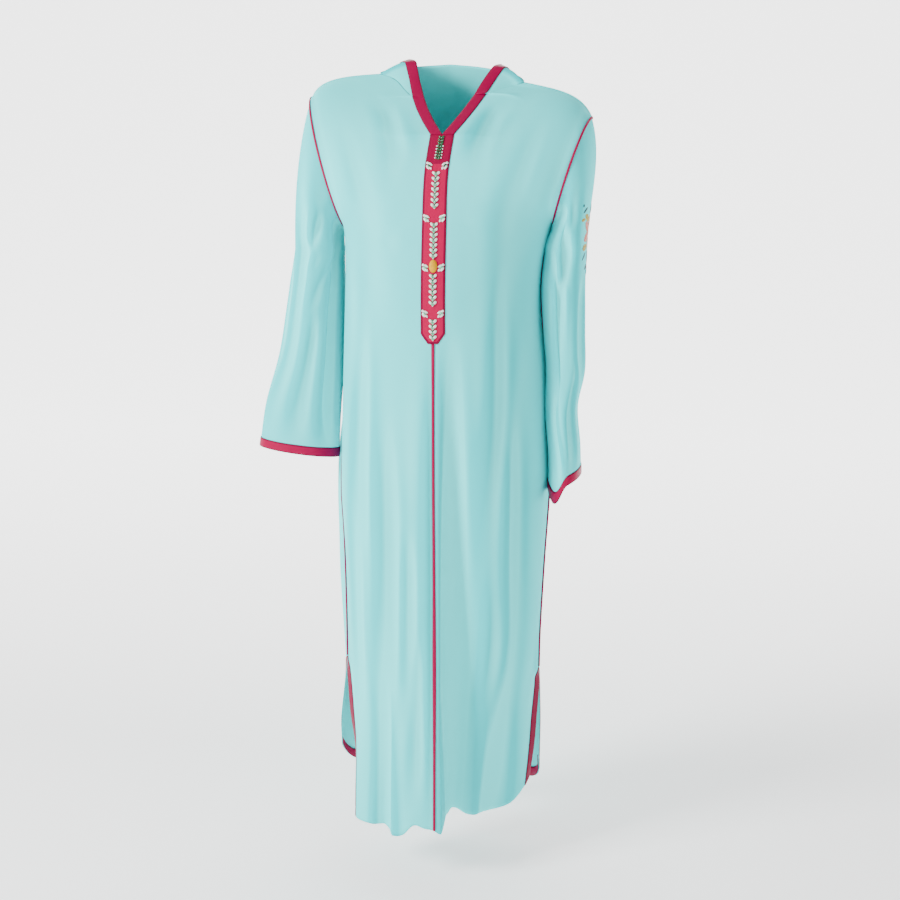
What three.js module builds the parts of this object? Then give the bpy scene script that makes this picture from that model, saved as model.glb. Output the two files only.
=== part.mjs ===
// A djellaba: a long hooded robe of thin cloth with pink bands and piping, filled out as it is worn.
// Millimetres, +Z up. The front faces -Y and the wearer's left side is +X.
// The origin lies on the middle line at the height where the shoulders meet the neck.
import * as THREE from "three";

// Thicknesses and the small space between pieces that meet
const CLOTH = 1.3;
const TRIM = 1.0;
const GAP = 0.3;

// Widths of the bands and the piping
const NECK_BAND = 20.5;
const SLIT_BAND = 16.5;
const CUFF_BAND = 16;
const HOOD_BAND = 20;
const HEM_FACING = 21;
const PIPING_HALF = 1.7;
const PIPING_HEIGHT = 2.0;

// Heights on the middle front line
const V_POINT = -115;
const CHEST = -262;
const PLACKET_CORNER = -436;
const PLACKET_TIP = -452.5;
const FRONT_HEM = -1313;
const BACK_HEM = -1290;

// Shares of the way down: the V point from shoulder to underarm, the slit from underarm to hem
const V_SHARE = 0.4;
const SLIT_SHARE = 0.74;

// How full the sections are. The outer handle reaches for a share of the depth and of the width,
// and the inner handle for a share of the width.
const FULLNESS = 0.64;
const OUTER_REACH = 0.15;
const INNER_REACH = 0.55;

// The top and the chest line of the middle back
const BACK_TOP = 13;
const BACK_CHEST = -240;

// Shares of the way down over which the cloth's fall from the shoulder eases away, at the armhole
// and at the neck, and over which the back leaves its own top edge
const FALL_SHARE = 0.6;
const SLOPE_SHARE = 0.3;
const BACK_TOP_SHARE = 0.35;

// How fast the cloth turns round the armhole, how the corner of each hem lifts, and where the hem line starts
const ARMHOLE_TURN = 1.2;
const LIFT_POWER = { front: 3, back: 4 };
const HEM_START = 1.88;

// A table of sizes, with a name for each column and a row for each height or place.
function table(names, rows) {
  const columns = names.split(" ");
  return rows.map((row) => Object.fromEntries(columns.map((name, i) => [name, row[i]])));
}

// One column of a table at any place along its first column: straight from row to row, or smooth.
function read(rows, column, at, smooth = true) {
  const key = Object.keys(rows[0])[0];
  const rising = rows[rows.length - 1][key] > rows[0][key] ? 1 : -1;
  const x = rows.map((row) => row[key] * rising);
  const y = rows.map((row) => row[column]);
  const last = x.length - 1;
  const place = Math.min(Math.max(at * rising, x[0]), x[last]);
  let i = 0;
  while (i < last - 1 && place > x[i + 1]) i += 1;
  const step = x[i + 1] - x[i];
  const t = (place - x[i]) / step;
  if (!smooth) return y[i] + (y[i + 1] - y[i]) * t;
  const slope = (k) => {
    const before = Math.max(k - 1, 0);
    const after = Math.min(k + 1, last);
    return (y[after] - y[before]) / (x[after] - x[before]);
  };
  const h1 = t * t * (3 - 2 * t);
  const h2 = t * (1 - t) * (1 - t);
  const h3 = -t * t * (1 - t);
  return y[i] + (y[i + 1] - y[i]) * h1 + step * (slope(i) * h2 + slope(i + 1) * h3);
}

// The middle line of the front and of the back by height
const FRONT_MIDDLE = table("z x y", [
  [V_POINT, 6, -95],
  [-180, -2, -112],
  [CHEST, -3, -130],
  [-365, -3.5, -143],
  [-450, -3.5, -144],
  [-690, -4, -140],
  [-880, -3, -142],
  [-1100, -2.5, -146],
  [-1330, -2.5, -152],
]);
const BACK_MIDDLE = table("z y", [
  [13, 63],
  [-40, 82],
  [-110, 96],
  [-262, 104],
  [-480, 98],
  [-690, 112],
  [-880, 119],
  [-1300, 124],
]);

// Side seams by height: how far out they lie, how far back, and the angle to which the cloth has turned there
const SEAM_RIGHT = table("z out back turn", [
  [-266, 174, 0, 90],
  [-320, 172, 0, 90],
  [-460, 178, 0, 90],
  [-560, 183, 0, 90],
  [-650, 187, 0, 90],
  [-734, 190, -1, 88],
  [-800, 186, -6, 82],
  [-870, 183, -11, 76],
  [-974, 180, -20, 70],
  [-1042, 179, -25, 68],
]);
const SEAM_LEFT = table("z out back turn", [
  [-258, 184, 0, 90],
  [-300, 171, 0, 90],
  [-352, 165, 0, 90],
  [-418, 167, 0, 90],
  [-468, 173, 0, 90],
  [-530, 178, 0, 90],
  [-603, 178, 0, 90],
  [-650, 182, 0, 90],
  [-704, 185, 0, 90],
  [-853, 177, 0, 88],
  [-985, 171, 0, 86],
  [-1056, 170, 0, 84],
]);

// The free edges below the slits, by share of the way from the slit to the hem
const FRONT_EDGE_RIGHT = table("share out back turn", [
  [0, 179, -25, 68],
  [0.12, 178, -32, 64],
  [0.35, 170, -48, 60],
  [0.55, 160, -61, 76],
  [0.78, 156, -70, 94],
  [1, 155, -80, 98],
]);
const BACK_EDGE_RIGHT = table("share out back turn", [
  [0, 179, -25, 68],
  [0.15, 184, -15, 72],
  [0.4, 192, -4, 80],
  [0.7, 200, 5, 90],
  [1, 202, 16, 98],
]);
const FRONT_EDGE_LEFT = table("share out back turn", [
  [0, 170, 0, 84],
  [0.15, 170, -3, 78],
  [0.4, 165, -9, 62],
  [0.7, 162, -14, 58],
  [1, 156, -18, 64],
]);
const BACK_EDGE_LEFT = table("share out back turn", [
  [0, 170, 0, 84],
  [0.15, 171, 6, 84],
  [0.5, 173, 14, 84],
  [1, 172, 24, 84],
]);

// The neckline of each front panel by share of the way down: from the shoulder along the hood seam,
// then in to the edge of the V and down to its point
const NECK_RIGHT = table("share x y z", [
  [0, -112, 4, -7],
  [0.07, -95, -1, -12],
  [0.13, -80, -10, -21],
  [0.18, -66, -24, -36],
  [0.22, -53, -37, -48],
  [0.25, -32, -37, -50],
  [0.3, -22, -56, -72],
  [0.35, -9, -76, -94],
  [0.4, 6, -95, V_POINT],
]);
const NECK_LEFT = table("share x y z", [
  [0, 131, 3, -24],
  [0.07, 114, -1, -29],
  [0.13, 98, -9, -34],
  [0.18, 84, -19, -40],
  [0.22, 73, -28, -43.5],
  [0.25, 52, -26, -45],
  [0.3, 37, -50, -70],
  [0.35, 22, -74, -93],
  [0.4, 6, -95, V_POINT],
]);

// The back neckline, from the middle out to each shoulder
const BACK_NECK_RIGHT = table("share x y z", [
  [0, 0, 63, 13],
  [0.3, -46, 58, 10],
  [0.6, -82, 44, 5],
  [0.82, -104, 24, -1],
  [1, -112, 4, -7],
]);
const BACK_NECK_LEFT = table("share x y z", [
  [0, 0, 63, 13],
  [0.3, 50, 58, 7],
  [0.6, 92, 46, -3],
  [0.82, 120, 26, -14],
  [1, 131, 3, -24],
]);

// Each side's own sizes. The armhole is a loop that leans in towards the underarm.
const SIDES = {
  right: {
    sign: -1,
    tip: { out: 231, z: -45 },
    under: { out: 174, z: -266 },
    lean: 1.0,
    slope: 2,
    fall: 72,
    hem: -1313,
    neck: NECK_RIGHT,
    backNeck: BACK_NECK_RIGHT,
    seam: SEAM_RIGHT,
    frontEdge: FRONT_EDGE_RIGHT,
    backEdge: BACK_EDGE_RIGHT,
    frontLift: -12,
    backLift: 80,
  },
  left: {
    sign: 1,
    tip: { out: 247, z: -83 },
    under: { out: 184, z: -258 },
    lean: 0.8,
    slope: 12,
    fall: 66,
    hem: -1336,
    neck: NECK_LEFT,
    backNeck: BACK_NECK_LEFT,
    seam: SEAM_LEFT,
    frontEdge: FRONT_EDGE_LEFT,
    backEdge: BACK_EDGE_LEFT,
    frontLift: 74,
    backLift: 84,
  },
};
const ARMHOLE_FRONT = 72;
const ARMHOLE_BACK = 80;

// Long folds that run to the hem. The four places across are where the cloth starts to fall in, is fully in,
// starts to come out and is out again, first at the top of the fold and then at the hem.
const FOLD_NAMES = "top full depth start in out end startHem inHem outHem endHem";
const FRONT_FOLDS = table(FOLD_NAMES, [
  [-520, -1313, 76, 4, 24, 34, 100, 11, 20, 46, 152],
  [-900, -1313, 15, -112, -98, -94, -82, -119, -98, -92, -78],
  [-560, -1250, 9, 84, 100, 104, 126, 92, 108, 112, 134],
]);
const BACK_FOLDS = table(FOLD_NAMES, [
  [-560, -1250, 24, -150, -122, -112, -84, -162, -128, -116, -82],
  [-480, -1290, 32, -66, -46, -38, -14, -74, -50, -40, -8],
  [-600, -1290, 28, 18, 36, 44, 70, 12, 36, 46, 78],
  [-420, -1200, 20, 84, 102, 110, 138, 88, 108, 118, 150],
]);

// The hem of the front is not level: how far it rises above its line, by place across
const HEM_RISE = table("x rise", [
  [-160, 0],
  [-97, -3],
  [-82, -15],
  [-60, -12],
  [-39, 9],
  [-21, 5],
  [-5, 2],
  [10, -5],
  [20, 8],
  [46, 3],
  [84, 4],
  [130, 0],
]);

// Sleeve rings by height: their middle, half width, half depth, how much lower the
// inner side hangs and how far a lobe at the front of the cuff droops
const SLEEVE_RIGHT = table("z out back half depth dip lobe", [
  [-300, 222, -2, 42, 66, 0, 0],
  [-400, 232, -6, 48, 60, 4, 0],
  [-480, 241, -9, 54, 53, 8, 0],
  [-570, 257, -12, 66, 45, 12, 0],
  [-650, 265, -14, 72, 37, 18, 0],
]);
const SLEEVE_LEFT = table("z out back half depth dip lobe", [
  [-300, 210, -4, 33, 70, 0, 0],
  [-352, 206, -6, 36, 68, 2, 0],
  [-440, 209.2, -10, 33.8, 66, 6, 0],
  [-508, 213, -12, 31, 66, 8, 0],
  [-570, 208, -14, 25.4, 68, 12, 4],
  [-637, 214, -16, 25, 66, 20, 14],
  [-687, 214, -18, 27, 58, 30, 23],
]);
const LOBE_ANGLE = 128;
const LOBE_HALF = 50;

// How a sleeve leaves the armhole on its outer and on its inner side: shares sideways and down
const OUTER_LEAVE = { aside: 0.3, down: 0.95 };
const INNER_LEAVE = { aside: 0.92, down: 0.4 };

// Sleeve folds: the angle round the sleeve from its outer side, its half width there, depth and reach,
// and the height over which each end fades
const FOLD_FADE = 90;
const SLEEVE_FOLDS = {
  right: table("angle half depth top bottom", [
    [62, 34, 7, -110, -420],
    [148, 26, 6, -330, -640],
  ]),
  left: table("angle half depth top bottom", [
    [84, 36, 10, -120, -600],
    [205, 34, 8, -200, -560],
  ]),
};

// The hood, station by station round the neck from the right front to the left front: its seam on the
// neckline and its rim, the bulge of the roll between them, and behind the neck how far the pocket hangs
// (as a share of the way from shoulder to underarm), how full it is and how much wider than its seam
const HOOD = table("round seamX seamY seamZ rimX rimY rimZ roll neck hang fill wide", [
  [0, -53, -37, -48, -32, -37, -50, 0, 1, 0, 0, 1],
  [0.06, -66, -24, -36, -38, -22, -33, 2, 1, 0, 0, 1],
  [0.12, -80, -10, -21, -43.5, -10, -17, 4, 1, 0, 0, 1],
  [0.18, -95, -1, -12, -48, 1, 0, 5, 1, 0, 0, 1],
  [0.24, -112, 4, -7, -53, 12, 14, 6, 1, 0, 0, 1],
  [0.3, -104, 24, -1, -69, 38, 21, 7, 0.82, 0.1, 8, 1.05],
  [0.36, -82, 44, 5, -74, 70, 21, 8, 0.6, 0.46, 20, 1.3],
  [0.43, -46, 58, 10, -48, 104, 0, 8, 0.3, 0.9, 30, 1.6],
  [0.5, 0, 63, 13, 2, 118, -14, 8, 0, 1.12, 36, 1],
  [0.57, 50, 58, 7, 54, 106, -6, 8, 0.3, 0.9, 30, 1.6],
  [0.64, 92, 46, -3, 86, 72, 13, 8, 0.6, 0.46, 20, 1.3],
  [0.7, 120, 26, -14, 88, 42, 11, 7, 0.82, 0.1, 8, 1.05],
  [0.76, 131, 3, -24, 80, 17, 5, 7, 1, 0, 0, 1],
  [0.82, 114, -1, -29, 72, 4, -7, 6, 1, 0, 0, 1],
  [0.88, 98, -9, -34, 65, -6, -19, 4, 1, 0, 0, 1],
  [0.94, 84, -19, -40, 58, -16, -32, 2, 1, 0, 0, 1],
  [1, 73, -28, -43.5, 52, -26, -45, 0, 1, 0, 0, 1],
]);

// The hood's seam is lifted off the neckline between two stations near the fronts. Its inner layer lies clear
// of the back, more so inside the pocket and most at its bottom, and it turns out at a share of the way up.
const SEAM_LIFT = 2;
const LIFT_FROM = 0.18;
const LIFT_OVER = 0.08;
const SEAM_CLEAR = 1.4;
const HOOD_CLEAR = 0.6;
const POCKET_CLEAR = 5;
const BOTTOM_CLEAR = 6;
const POCKET_TURN = 0.42;
const POCKET_HANG = 0.4;

// The handles of the hood's outer layer: the roll out and up, and the fullness and rise of the pocket
const ROLL = { out: 0.52, up: 1.04 };
const POCKET_LOW = { fill: 1.3, rise: -0.12 };
const POCKET_HIGH = { fill: 0.9, rise: -0.4 };

const mix = (a, b, t) => a + (b - a) * t;
const clamp01 = (t) => Math.min(Math.max(t, 0), 1);
const clampTo = (i, last) => Math.min(Math.max(i, 0), last);
const ease = (t) => clamp01(t) ** 2 * (3 - 2 * clamp01(t));
const radians = THREE.MathUtils.degToRad;

// The armhole loop: share runs from the shoulder tip to the underarm, along its front or its back.
function armhole(side, face, share) {
  const { sign, tip, under, lean } = SIDES[side];
  const angle = Math.PI * share;
  const down = (1 - Math.cos(angle)) / 2;
  const reach = face === "front" ? -ARMHOLE_FRONT : ARMHOLE_BACK;
  const out = mix(tip.out, under.out, down ** lean);
  return new THREE.Vector3(sign * out, reach * Math.sin(angle), mix(tip.z, under.z, down));
}

// The outer edge of a half panel: the armhole, then the side seam, then the free edge beside the slit.
// Down runs from 0 at the shoulder through 1 at the underarm to 2 at the hem.
function outerEdge(side, face, down) {
  const s = SIDES[side];
  if (down <= 1) {
    const turn = 90 * down ** ARMHOLE_TURN;
    const fall = s.fall * (1 - ease(down / FALL_SHARE));
    const spread = Math.cos(radians(fall));
    const back = face === "front" ? Math.sin(radians(turn)) : -Math.sin(radians(turn));
    const way = new THREE.Vector3(
      s.sign * Math.cos(radians(turn)) * spread,
      back * spread,
      -Math.sin(radians(fall)),
    );
    return { point: armhole(side, face, down), way, lift: 0 };
  }
  const share = down - 1;
  const z = mix(s.under.z, s.hem, share);
  const open = share > SLIT_SHARE;
  const slit = (share - SLIT_SHARE) / (1 - SLIT_SHARE);
  const edge = face === "front" ? s.frontEdge : s.backEdge;
  const at = (column) => (open ? read(edge, column, slit) : read(s.seam, column, z));
  const turn = radians(at("turn"));
  const onward = face === "front" ? 1 : -1;
  return {
    point: new THREE.Vector3(s.sign * at("out"), at("back"), z),
    way: new THREE.Vector3(onward * s.sign * Math.cos(turn), onward * Math.sin(turn), 0),
    lift: open ? slit * (face === "front" ? s.frontLift : s.backLift) : 0,
  };
}

// The inner edge of a half panel: the neckline and then the middle of the front, or the middle of the back.
function innerEdge(side, face, down) {
  const s = SIDES[side];
  const share = down - 1;
  if (face === "back") {
    const z = down <= 1 ? mix(BACK_TOP, BACK_CHEST, down) : mix(BACK_CHEST, BACK_HEM, share);
    return { point: new THREE.Vector3(0, read(BACK_MIDDLE, "y", z), z), slope: 0 };
  }
  const slope = s.slope * (1 - ease(down / SLOPE_SHARE));
  if (down < V_SHARE) {
    const [x, y, z] = ["x", "y", "z"].map((column) => read(s.neck, column, down, false));
    return { point: new THREE.Vector3(x, y, z), slope };
  }
  const toChest = (down - V_SHARE) / (1 - V_SHARE);
  const z = down <= 1 ? mix(V_POINT, CHEST, toChest) : mix(CHEST, FRONT_HEM, share);
  const x = read(FRONT_MIDDLE, "x", z);
  return { point: new THREE.Vector3(x, read(FRONT_MIDDLE, "y", z), z), slope };
}

// How far the cloth falls in at a place across and a height, from a table of folds.
function foldDepth(folds, x, z) {
  let depth = 0;
  for (const fold of folds) {
    const grown = clamp01((fold.top - z) / (fold.top - fold.full));
    const place = (name) => mix(fold[name], fold[`${name}Hem`], grown);
    const into = ease((x - place("start")) / (place("in") - place("start")));
    const outOf = ease((x - place("out")) / (place("end") - place("out")));
    depth += fold.depth * grown ** 1.5 * into * (1 - outOf);
  }
  return depth;
}

// One row of a half panel: the four control points of its curve from the inner to the outer edge.
function panelRow(side, face, down) {
  const { sign } = SIDES[side];
  const inner = innerEdge(side, face, down);
  const outer = outerEdge(side, face, down);
  const step = outer.point.clone().sub(inner.point);
  const innerHandle = INNER_REACH * Math.abs(step.x);
  const drop = down > 1 ? 0 : Math.abs(step.z);
  const outerHandle = Math.hypot(FULLNESS * (Math.abs(step.y) + drop), OUTER_REACH * step.x);
  const slope = radians(inner.slope);
  const way = new THREE.Vector3(sign * Math.cos(slope), 0, -Math.sin(slope));
  const second = inner.point.clone().addScaledVector(way, innerHandle);
  const third = outer.point.clone().addScaledVector(outer.way, -outerHandle);
  return { points: [inner.point, second, third, outer.point], innerHandle, outerHandle, lift: outer.lift };
}

// A point of a half panel at u from 0 at its inner edge to 1 at its outer edge.
function panelPoint(side, face, u, down) {
  const row = panelRow(side, face, down);
  const [a, b, c, d] = row.points;
  const point = new THREE.CubicBezierCurve3(a, b, c, d).getPoint(u);
  if (down > 1) {
    const folds = face === "front" ? FRONT_FOLDS : BACK_FOLDS;
    const along = new THREE.CubicBezierCurve3(a, b, c, d).getTangent(u);
    const inward = new THREE.Vector3(-along.y, along.x, 0).normalize();
    const towards = face === "front" ? SIDES[side].sign : -SIDES[side].sign;
    point.addScaledVector(inward, towards * foldDepth(folds, point.x, point.z));
    point.z += row.lift * u ** LIFT_POWER[face];
    if (face === "front") {
      const low = ease((down - HEM_START) / (2 - HEM_START));
      point.z += low * read(HEM_RISE, "rise", point.x);
    }
  }
  if (face === "back" && down < BACK_TOP_SHARE) {
    const away = (1 - down / BACK_TOP_SHARE) ** 2;
    const top = panelRow(side, face, 0).points;
    const plain = new THREE.CubicBezierCurve3(...top).getPoint(u);
    point.addScaledVector(backTop(side, u).sub(plain), away);
  }
  return point;
}

// The top edge of a half back: the back neckline, then the shoulder seam, which it shares with the front.
const BACK_NECK_SHARE = 0.4;
function backTop(side, u) {
  if (u <= BACK_NECK_SHARE) {
    const share = u / BACK_NECK_SHARE;
    const at = (column) => read(SIDES[side].backNeck, column, share);
    return new THREE.Vector3(at("x"), at("y"), at("z"));
  }
  const along = (u - BACK_NECK_SHARE) / (1 - BACK_NECK_SHARE);
  return panelPoint(side, "front", along, 0);
}

// Columns of a panel. Those in the neck band and the slit band keep these bands' widths on each row,
// and the ones between are spread over the rest.
function frontColumn(side, column, down) {
  const row = panelRow(side, "front", down);
  const first = NECK_BAND / (3 * row.innerHandle);
  const last = 1 - SLIT_BAND / (3 * row.outerHandle);
  if (column.band !== undefined) return first * column.band;
  if (column.edge !== undefined) return mix(last, 1, column.edge);
  return mix(first, last, column.share);
}

// The shoulder seam of the back stops at the same places as that of the front. Further down the last
// column moves to the width of the slit band.
function backColumn(side, column, down) {
  if (column.neck !== undefined) return BACK_NECK_SHARE * column.neck;
  const onShoulder = (place) => mix(BACK_NECK_SHARE, 1, frontColumn(side, place, 0));
  const shoulderEdge = onShoulder({ edge: 0 });
  const bandEdge = 1 - SLIT_BAND / (3 * panelRow(side, "back", down).outerHandle);
  const edge = mix(shoulderEdge, bandEdge, ease(down));
  if (column.edge !== undefined) return mix(edge, 1, column.edge);
  const share = (onShoulder(column) - BACK_NECK_SHARE) / (shoulderEdge - BACK_NECK_SHARE);
  return mix(BACK_NECK_SHARE, edge, share);
}

const SPREAD = [0.09, 0.19, 0.3, 0.42, 0.55, 0.68, 0.82].map((share) => ({ share }));
const EDGE = [{ edge: 0 }, { edge: 1 }];
const bandColumns = (places) => places.map((place) => ({ band: place }));
const FRONT_COLUMNS = {
  right: [...bandColumns([0, 0.35, 0.7, 1]), ...SPREAD, ...EDGE],
  left: [...bandColumns([0, 0.25, 0.43, 0.58, 0.72, 0.86, 1]), ...SPREAD, ...EDGE],
};
const NECK_COLUMNS = [0, 0.3, 0.6, 0.82].map((neck) => ({ neck }));
const BACK_COLUMNS = [...NECK_COLUMNS, { band: 0 }, { band: 1 }, ...SPREAD, ...EDGE];

// Rows, from the shoulder down to the hem, with one on each line that a band, a piping or a piece ends on
const SIDE_PIPING_TOP = -310;
const UPPER_ROWS = [0, 0.07, 0.13, 0.18, 0.22, 0.25, 0.3, 0.35, V_SHARE, 0.5, 0.6, 0.7, 0.8, 0.9, 1];
const rowAt = (z) => 1 + (CHEST - z) / (CHEST - FRONT_HEM);
const BAND_TOP_ROW = 1 + SLIT_SHARE + 0.02;
const SLIT_ROW = 1 + SLIT_SHARE;
const FACING_ROW = 2 - HEM_FACING / (CHEST - FRONT_HEM);
const LOWER_ROWS = [
  ...[SIDE_PIPING_TOP, -365, PLACKET_CORNER, PLACKET_TIP, -520, -600, -690, -780, -870, -960].map(rowAt),
  ...[SLIT_ROW, BAND_TOP_ROW, 1.81, 1.865, 1.92, FACING_ROW, 2],
];
const ROWS = [...UPPER_ROWS, ...LOWER_ROWS];

// A grid of points and the outward direction of the cloth at each, taken from the surface just beside it.
function surfaceGrid(rows, columns, pointAt, facing) {
  const nudge = 1e-3;
  return rows.map((row) =>
    columns.map((column) => {
      const point = pointAt(column, row, 0, 0);
      const across = pointAt(column, row, nudge, 0).sub(pointAt(column, row, -nudge, 0));
      const downward = pointAt(column, row, 0, nudge).sub(pointAt(column, row, 0, -nudge));
      const normal = across.cross(downward).normalize().multiplyScalar(facing);
      return { point, normal };
    }),
  );
}

function frontGrid(side) {
  const pointAt = (column, row, du, dv) => {
    const u = clamp01(frontColumn(side, column, row) + du);
    const top = row <= 1 ? 0 : 1 + 1e-6;
    const end = row < 1 ? 1 : 2;
    return panelPoint(side, "front", u, Math.min(Math.max(row + dv, top), end));
  };
  return surfaceGrid(ROWS, FRONT_COLUMNS[side], pointAt, -SIDES[side].sign);
}

// The shoulder seam is straight between the ends of the neck band's columns, as it is on the back.
function straightenSeam(grid, columns) {
  const bandEnd = columns.findIndex(({ band }) => band === 1);
  const [start, end] = [grid[0][0], grid[0][bandEnd]];
  for (let j = 1; j < bandEnd; j += 1) {
    const share = columns[j].band;
    grid[0][j].point.copy(start.point).lerp(end.point, share);
    grid[0][j].normal.copy(start.normal).lerp(end.normal, share).normalize();
  }
}

function backHalfGrid(side, columns) {
  const pointAt = (column, row, du, dv) => {
    const u = backColumn(side, column, row) + du;
    const inside = Math.min(Math.abs(u), 1);
    const down = Math.min(Math.max(row + dv, 0), 2);
    if (u >= 0) return panelPoint(side, "back", inside, down);
    const other = side === "left" ? "right" : "left";
    return panelPoint(other, "back", inside, down);
  };
  return surfaceGrid(ROWS, columns, pointAt, SIDES[side].sign);
}

// Both halves of the back in one grid, from the right side seam to the left one.
function backGrid() {
  const right = backHalfGrid("right", BACK_COLUMNS);
  const left = backHalfGrid("left", BACK_COLUMNS.slice(1));
  return ROWS.map((_, i) => [...[...right[i]].reverse(), ...left[i]]);
}

// A sleeve point: round runs from 0 at the outer side over the front to 1 at the inner side and over the back
// to 2. Along runs from 0 at the armhole through 1 at the first ring to 2 at the cuff.
function sleeveRing(side, round, z) {
  const rings = side === "right" ? SLEEVE_RIGHT : SLEEVE_LEFT;
  const { sign } = SIDES[side];
  const angle = Math.PI * round;
  const at = (column) => read(rings, column, z);
  let half = 1;
  for (const fold of SLEEVE_FOLDS[side]) {
    const off = Math.abs(angle - radians(fold.angle)) / radians(fold.half);
    const long = ease((fold.top - z) / FOLD_FADE) * ease((z - fold.bottom) / FOLD_FADE);
    half -= (fold.depth / at("depth")) * (1 - ease(off)) * long;
  }
  const lobe = 1 - ease(Math.abs(angle - radians(LOBE_ANGLE)) / radians(LOBE_HALF));
  return new THREE.Vector3(
    sign * (at("out") + at("half") * half * Math.cos(angle)),
    at("back") - at("depth") * half * Math.sin(angle),
    z - at("dip") * (1 - Math.cos(angle)) * 0.5 - at("lobe") * lobe,
  );
}

function sleevePoint(side, round, along) {
  const { sign } = SIDES[side];
  const rings = side === "right" ? SLEEVE_RIGHT : SLEEVE_LEFT;
  const turn = ((round % 2) + 2) % 2;
  const top = rings[0].z;
  const bottom = rings[rings.length - 1].z;
  if (along >= 1) return sleeveRing(side, turn, mix(top, bottom, along - 1));
  const front = turn <= 1;
  const start = armhole(side, front ? "front" : "back", front ? turn : 2 - turn);
  const end = sleeveRing(side, turn, top);
  const inner = ((1 - Math.cos(Math.PI * turn)) / 2) ** 2;
  const length = start.distanceTo(end);
  const aside = mix(OUTER_LEAVE.aside, INNER_LEAVE.aside, inner);
  const leave = new THREE.Vector3(sign * aside, 0, -mix(OUTER_LEAVE.down, INNER_LEAVE.down, inner));
  const t = along;
  const h1 = ease(t);
  const h2 = t * (1 - t) ** 2 * length;
  const h3 = -(t ** 2) * (1 - t) * length;
  const point = start.clone().multiplyScalar(1 - h1).addScaledVector(end, h1);
  return point.addScaledVector(leave, h2).addScaledVector(new THREE.Vector3(0, 0, -1), h3);
}

const SLEEVE_LENGTH = {
  right: SLEEVE_RIGHT[0].z - SLEEVE_RIGHT[SLEEVE_RIGHT.length - 1].z,
  left: SLEEVE_LEFT[0].z - SLEEVE_LEFT[SLEEVE_LEFT.length - 1].z,
};
const SLEEVE_ROUND = [...UPPER_ROWS, ...UPPER_ROWS.slice(1, -1).reverse().map((v) => 2 - v)];
const cuffRow = (side) => 2 - CUFF_BAND / SLEEVE_LENGTH[side];
const sleeveRows = (side) => [0, 0.22, 0.45, 0.7, 1, 1.16, 1.34, 1.52, 1.7, 1.86, cuffRow(side), 2];

function sleeveGrid(side) {
  const pointAt = (round, along, du, dv) => {
    const place = Math.min(Math.max(along + dv, along < 1 ? 0 : 1), along < 1 ? 1 : 2);
    return sleevePoint(side, round + du, place);
  };
  return surfaceGrid(sleeveRows(side), SLEEVE_ROUND, pointAt, SIDES[side].sign);
}

// A hood point: round from the right front to the left front, up from the neck seam to the rim. Behind the
// neck the cloth first follows the back panel down, just clear of it, then turns up and out as a pocket.
// In front and at the sides it rolls from the seam to the rim.
function hoodPoint(round, up) {
  const at = (column) => read(HOOD, column, round);
  const side = round < 0.5 ? "right" : "left";
  const hang = Math.max(at("hang"), 0);
  const pocket = ease(hang / POCKET_HANG);
  const lift = SEAM_LIFT * ease((round - LIFT_FROM) / LIFT_OVER) * ease((1 - LIFT_FROM - round) / LIFT_OVER);
  const inner = (share) => {
    if (pocket === 0) return new THREE.Vector3(at("seamX"), at("seamY"), at("seamZ") + lift);
    const nudge = 1e-3;
    const u = Math.max(BACK_NECK_SHARE * at("neck") * mix(1, at("wide"), share), nudge);
    const down = Math.max(hang * share, nudge);
    const on = (du, dv) => panelPoint(side, "back", u + du, down + dv);
    const across = on(nudge, 0).sub(on(-nudge, 0));
    const away = across.cross(on(0, nudge).sub(on(0, -nudge))).normalize();
    const open = POCKET_CLEAR * ease(share * 3) + BOTTOM_CLEAR * share;
    const clear = SEAM_CLEAR + open * Math.min(3 * pocket, 1);
    const point = on(0, 0).addScaledVector(away, clear * SIDES[side].sign);
    point.z += lift * (1 - share);
    return point;
  };
  const turn = POCKET_TURN * pocket;
  if (up < turn) return inner(up / turn);
  const start = inner(1);
  const end = new THREE.Vector3(at("rimX"), at("rimY"), at("rimZ"));
  const rise = start.distanceTo(end);
  const third = end.clone().sub(start).divideScalar(3);
  const bulge = new THREE.Vector3(Math.sign(at("seamX")) * ROLL.out, 0, ROLL.up).multiplyScalar(at("roll"));
  const inPocket = ({ fill, rise: share }) => new THREE.Vector3(0, at("fill") * fill, share * rise);
  const low = third.clone().add(bulge).lerp(inPocket(POCKET_LOW), pocket);
  const high = third.clone().negate().add(bulge).lerp(inPocket(POCKET_HIGH), pocket);
  const curve = new THREE.CubicBezierCurve3(start, low.add(start), high.add(end), end);
  return curve.getPoint((up - turn) / (1 - turn));
}
const HOOD_ROUND = [
  ...[0, 0.06, 0.12, 0.18, 0.24, 0.27, 0.3, 0.33, 0.36, 0.395, 0.43, 0.465],
  ...[0.5, 0.535, 0.57, 0.605, 0.64, 0.67, 0.7, 0.73, 0.76, 0.82, 0.88, 0.94, 1],
];
const HOOD_ROWS = [0, 0.085, 0.19, 0.31, 0.44, 0.5, 0.58, 0.68, 0.79, 0.9, 1, 2];
const HOOD_BAND_MOST = 0.78;

// Rows 0 to 1 run from the seam to the edge of the rim's band, and row 2 is the rim.
function hoodGrid() {
  const bandShare = HOOD_ROUND.map((round) => {
    const speed = hoodPoint(round, 1).distanceTo(hoodPoint(round, 0.99)) / 0.01;
    return Math.min(HOOD_BAND / speed, HOOD_BAND_MOST);
  });
  const pointAt = (round, row, du, dv) => {
    const share = bandShare[HOOD_ROUND.indexOf(round)];
    const up = row === 2 ? 1 : (1 - share) * row;
    return hoodPoint(clamp01(round + du), clamp01(up + dv));
  };
  return surfaceGrid(HOOD_ROWS, HOOD_ROUND, pointAt, -1);
}

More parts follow.
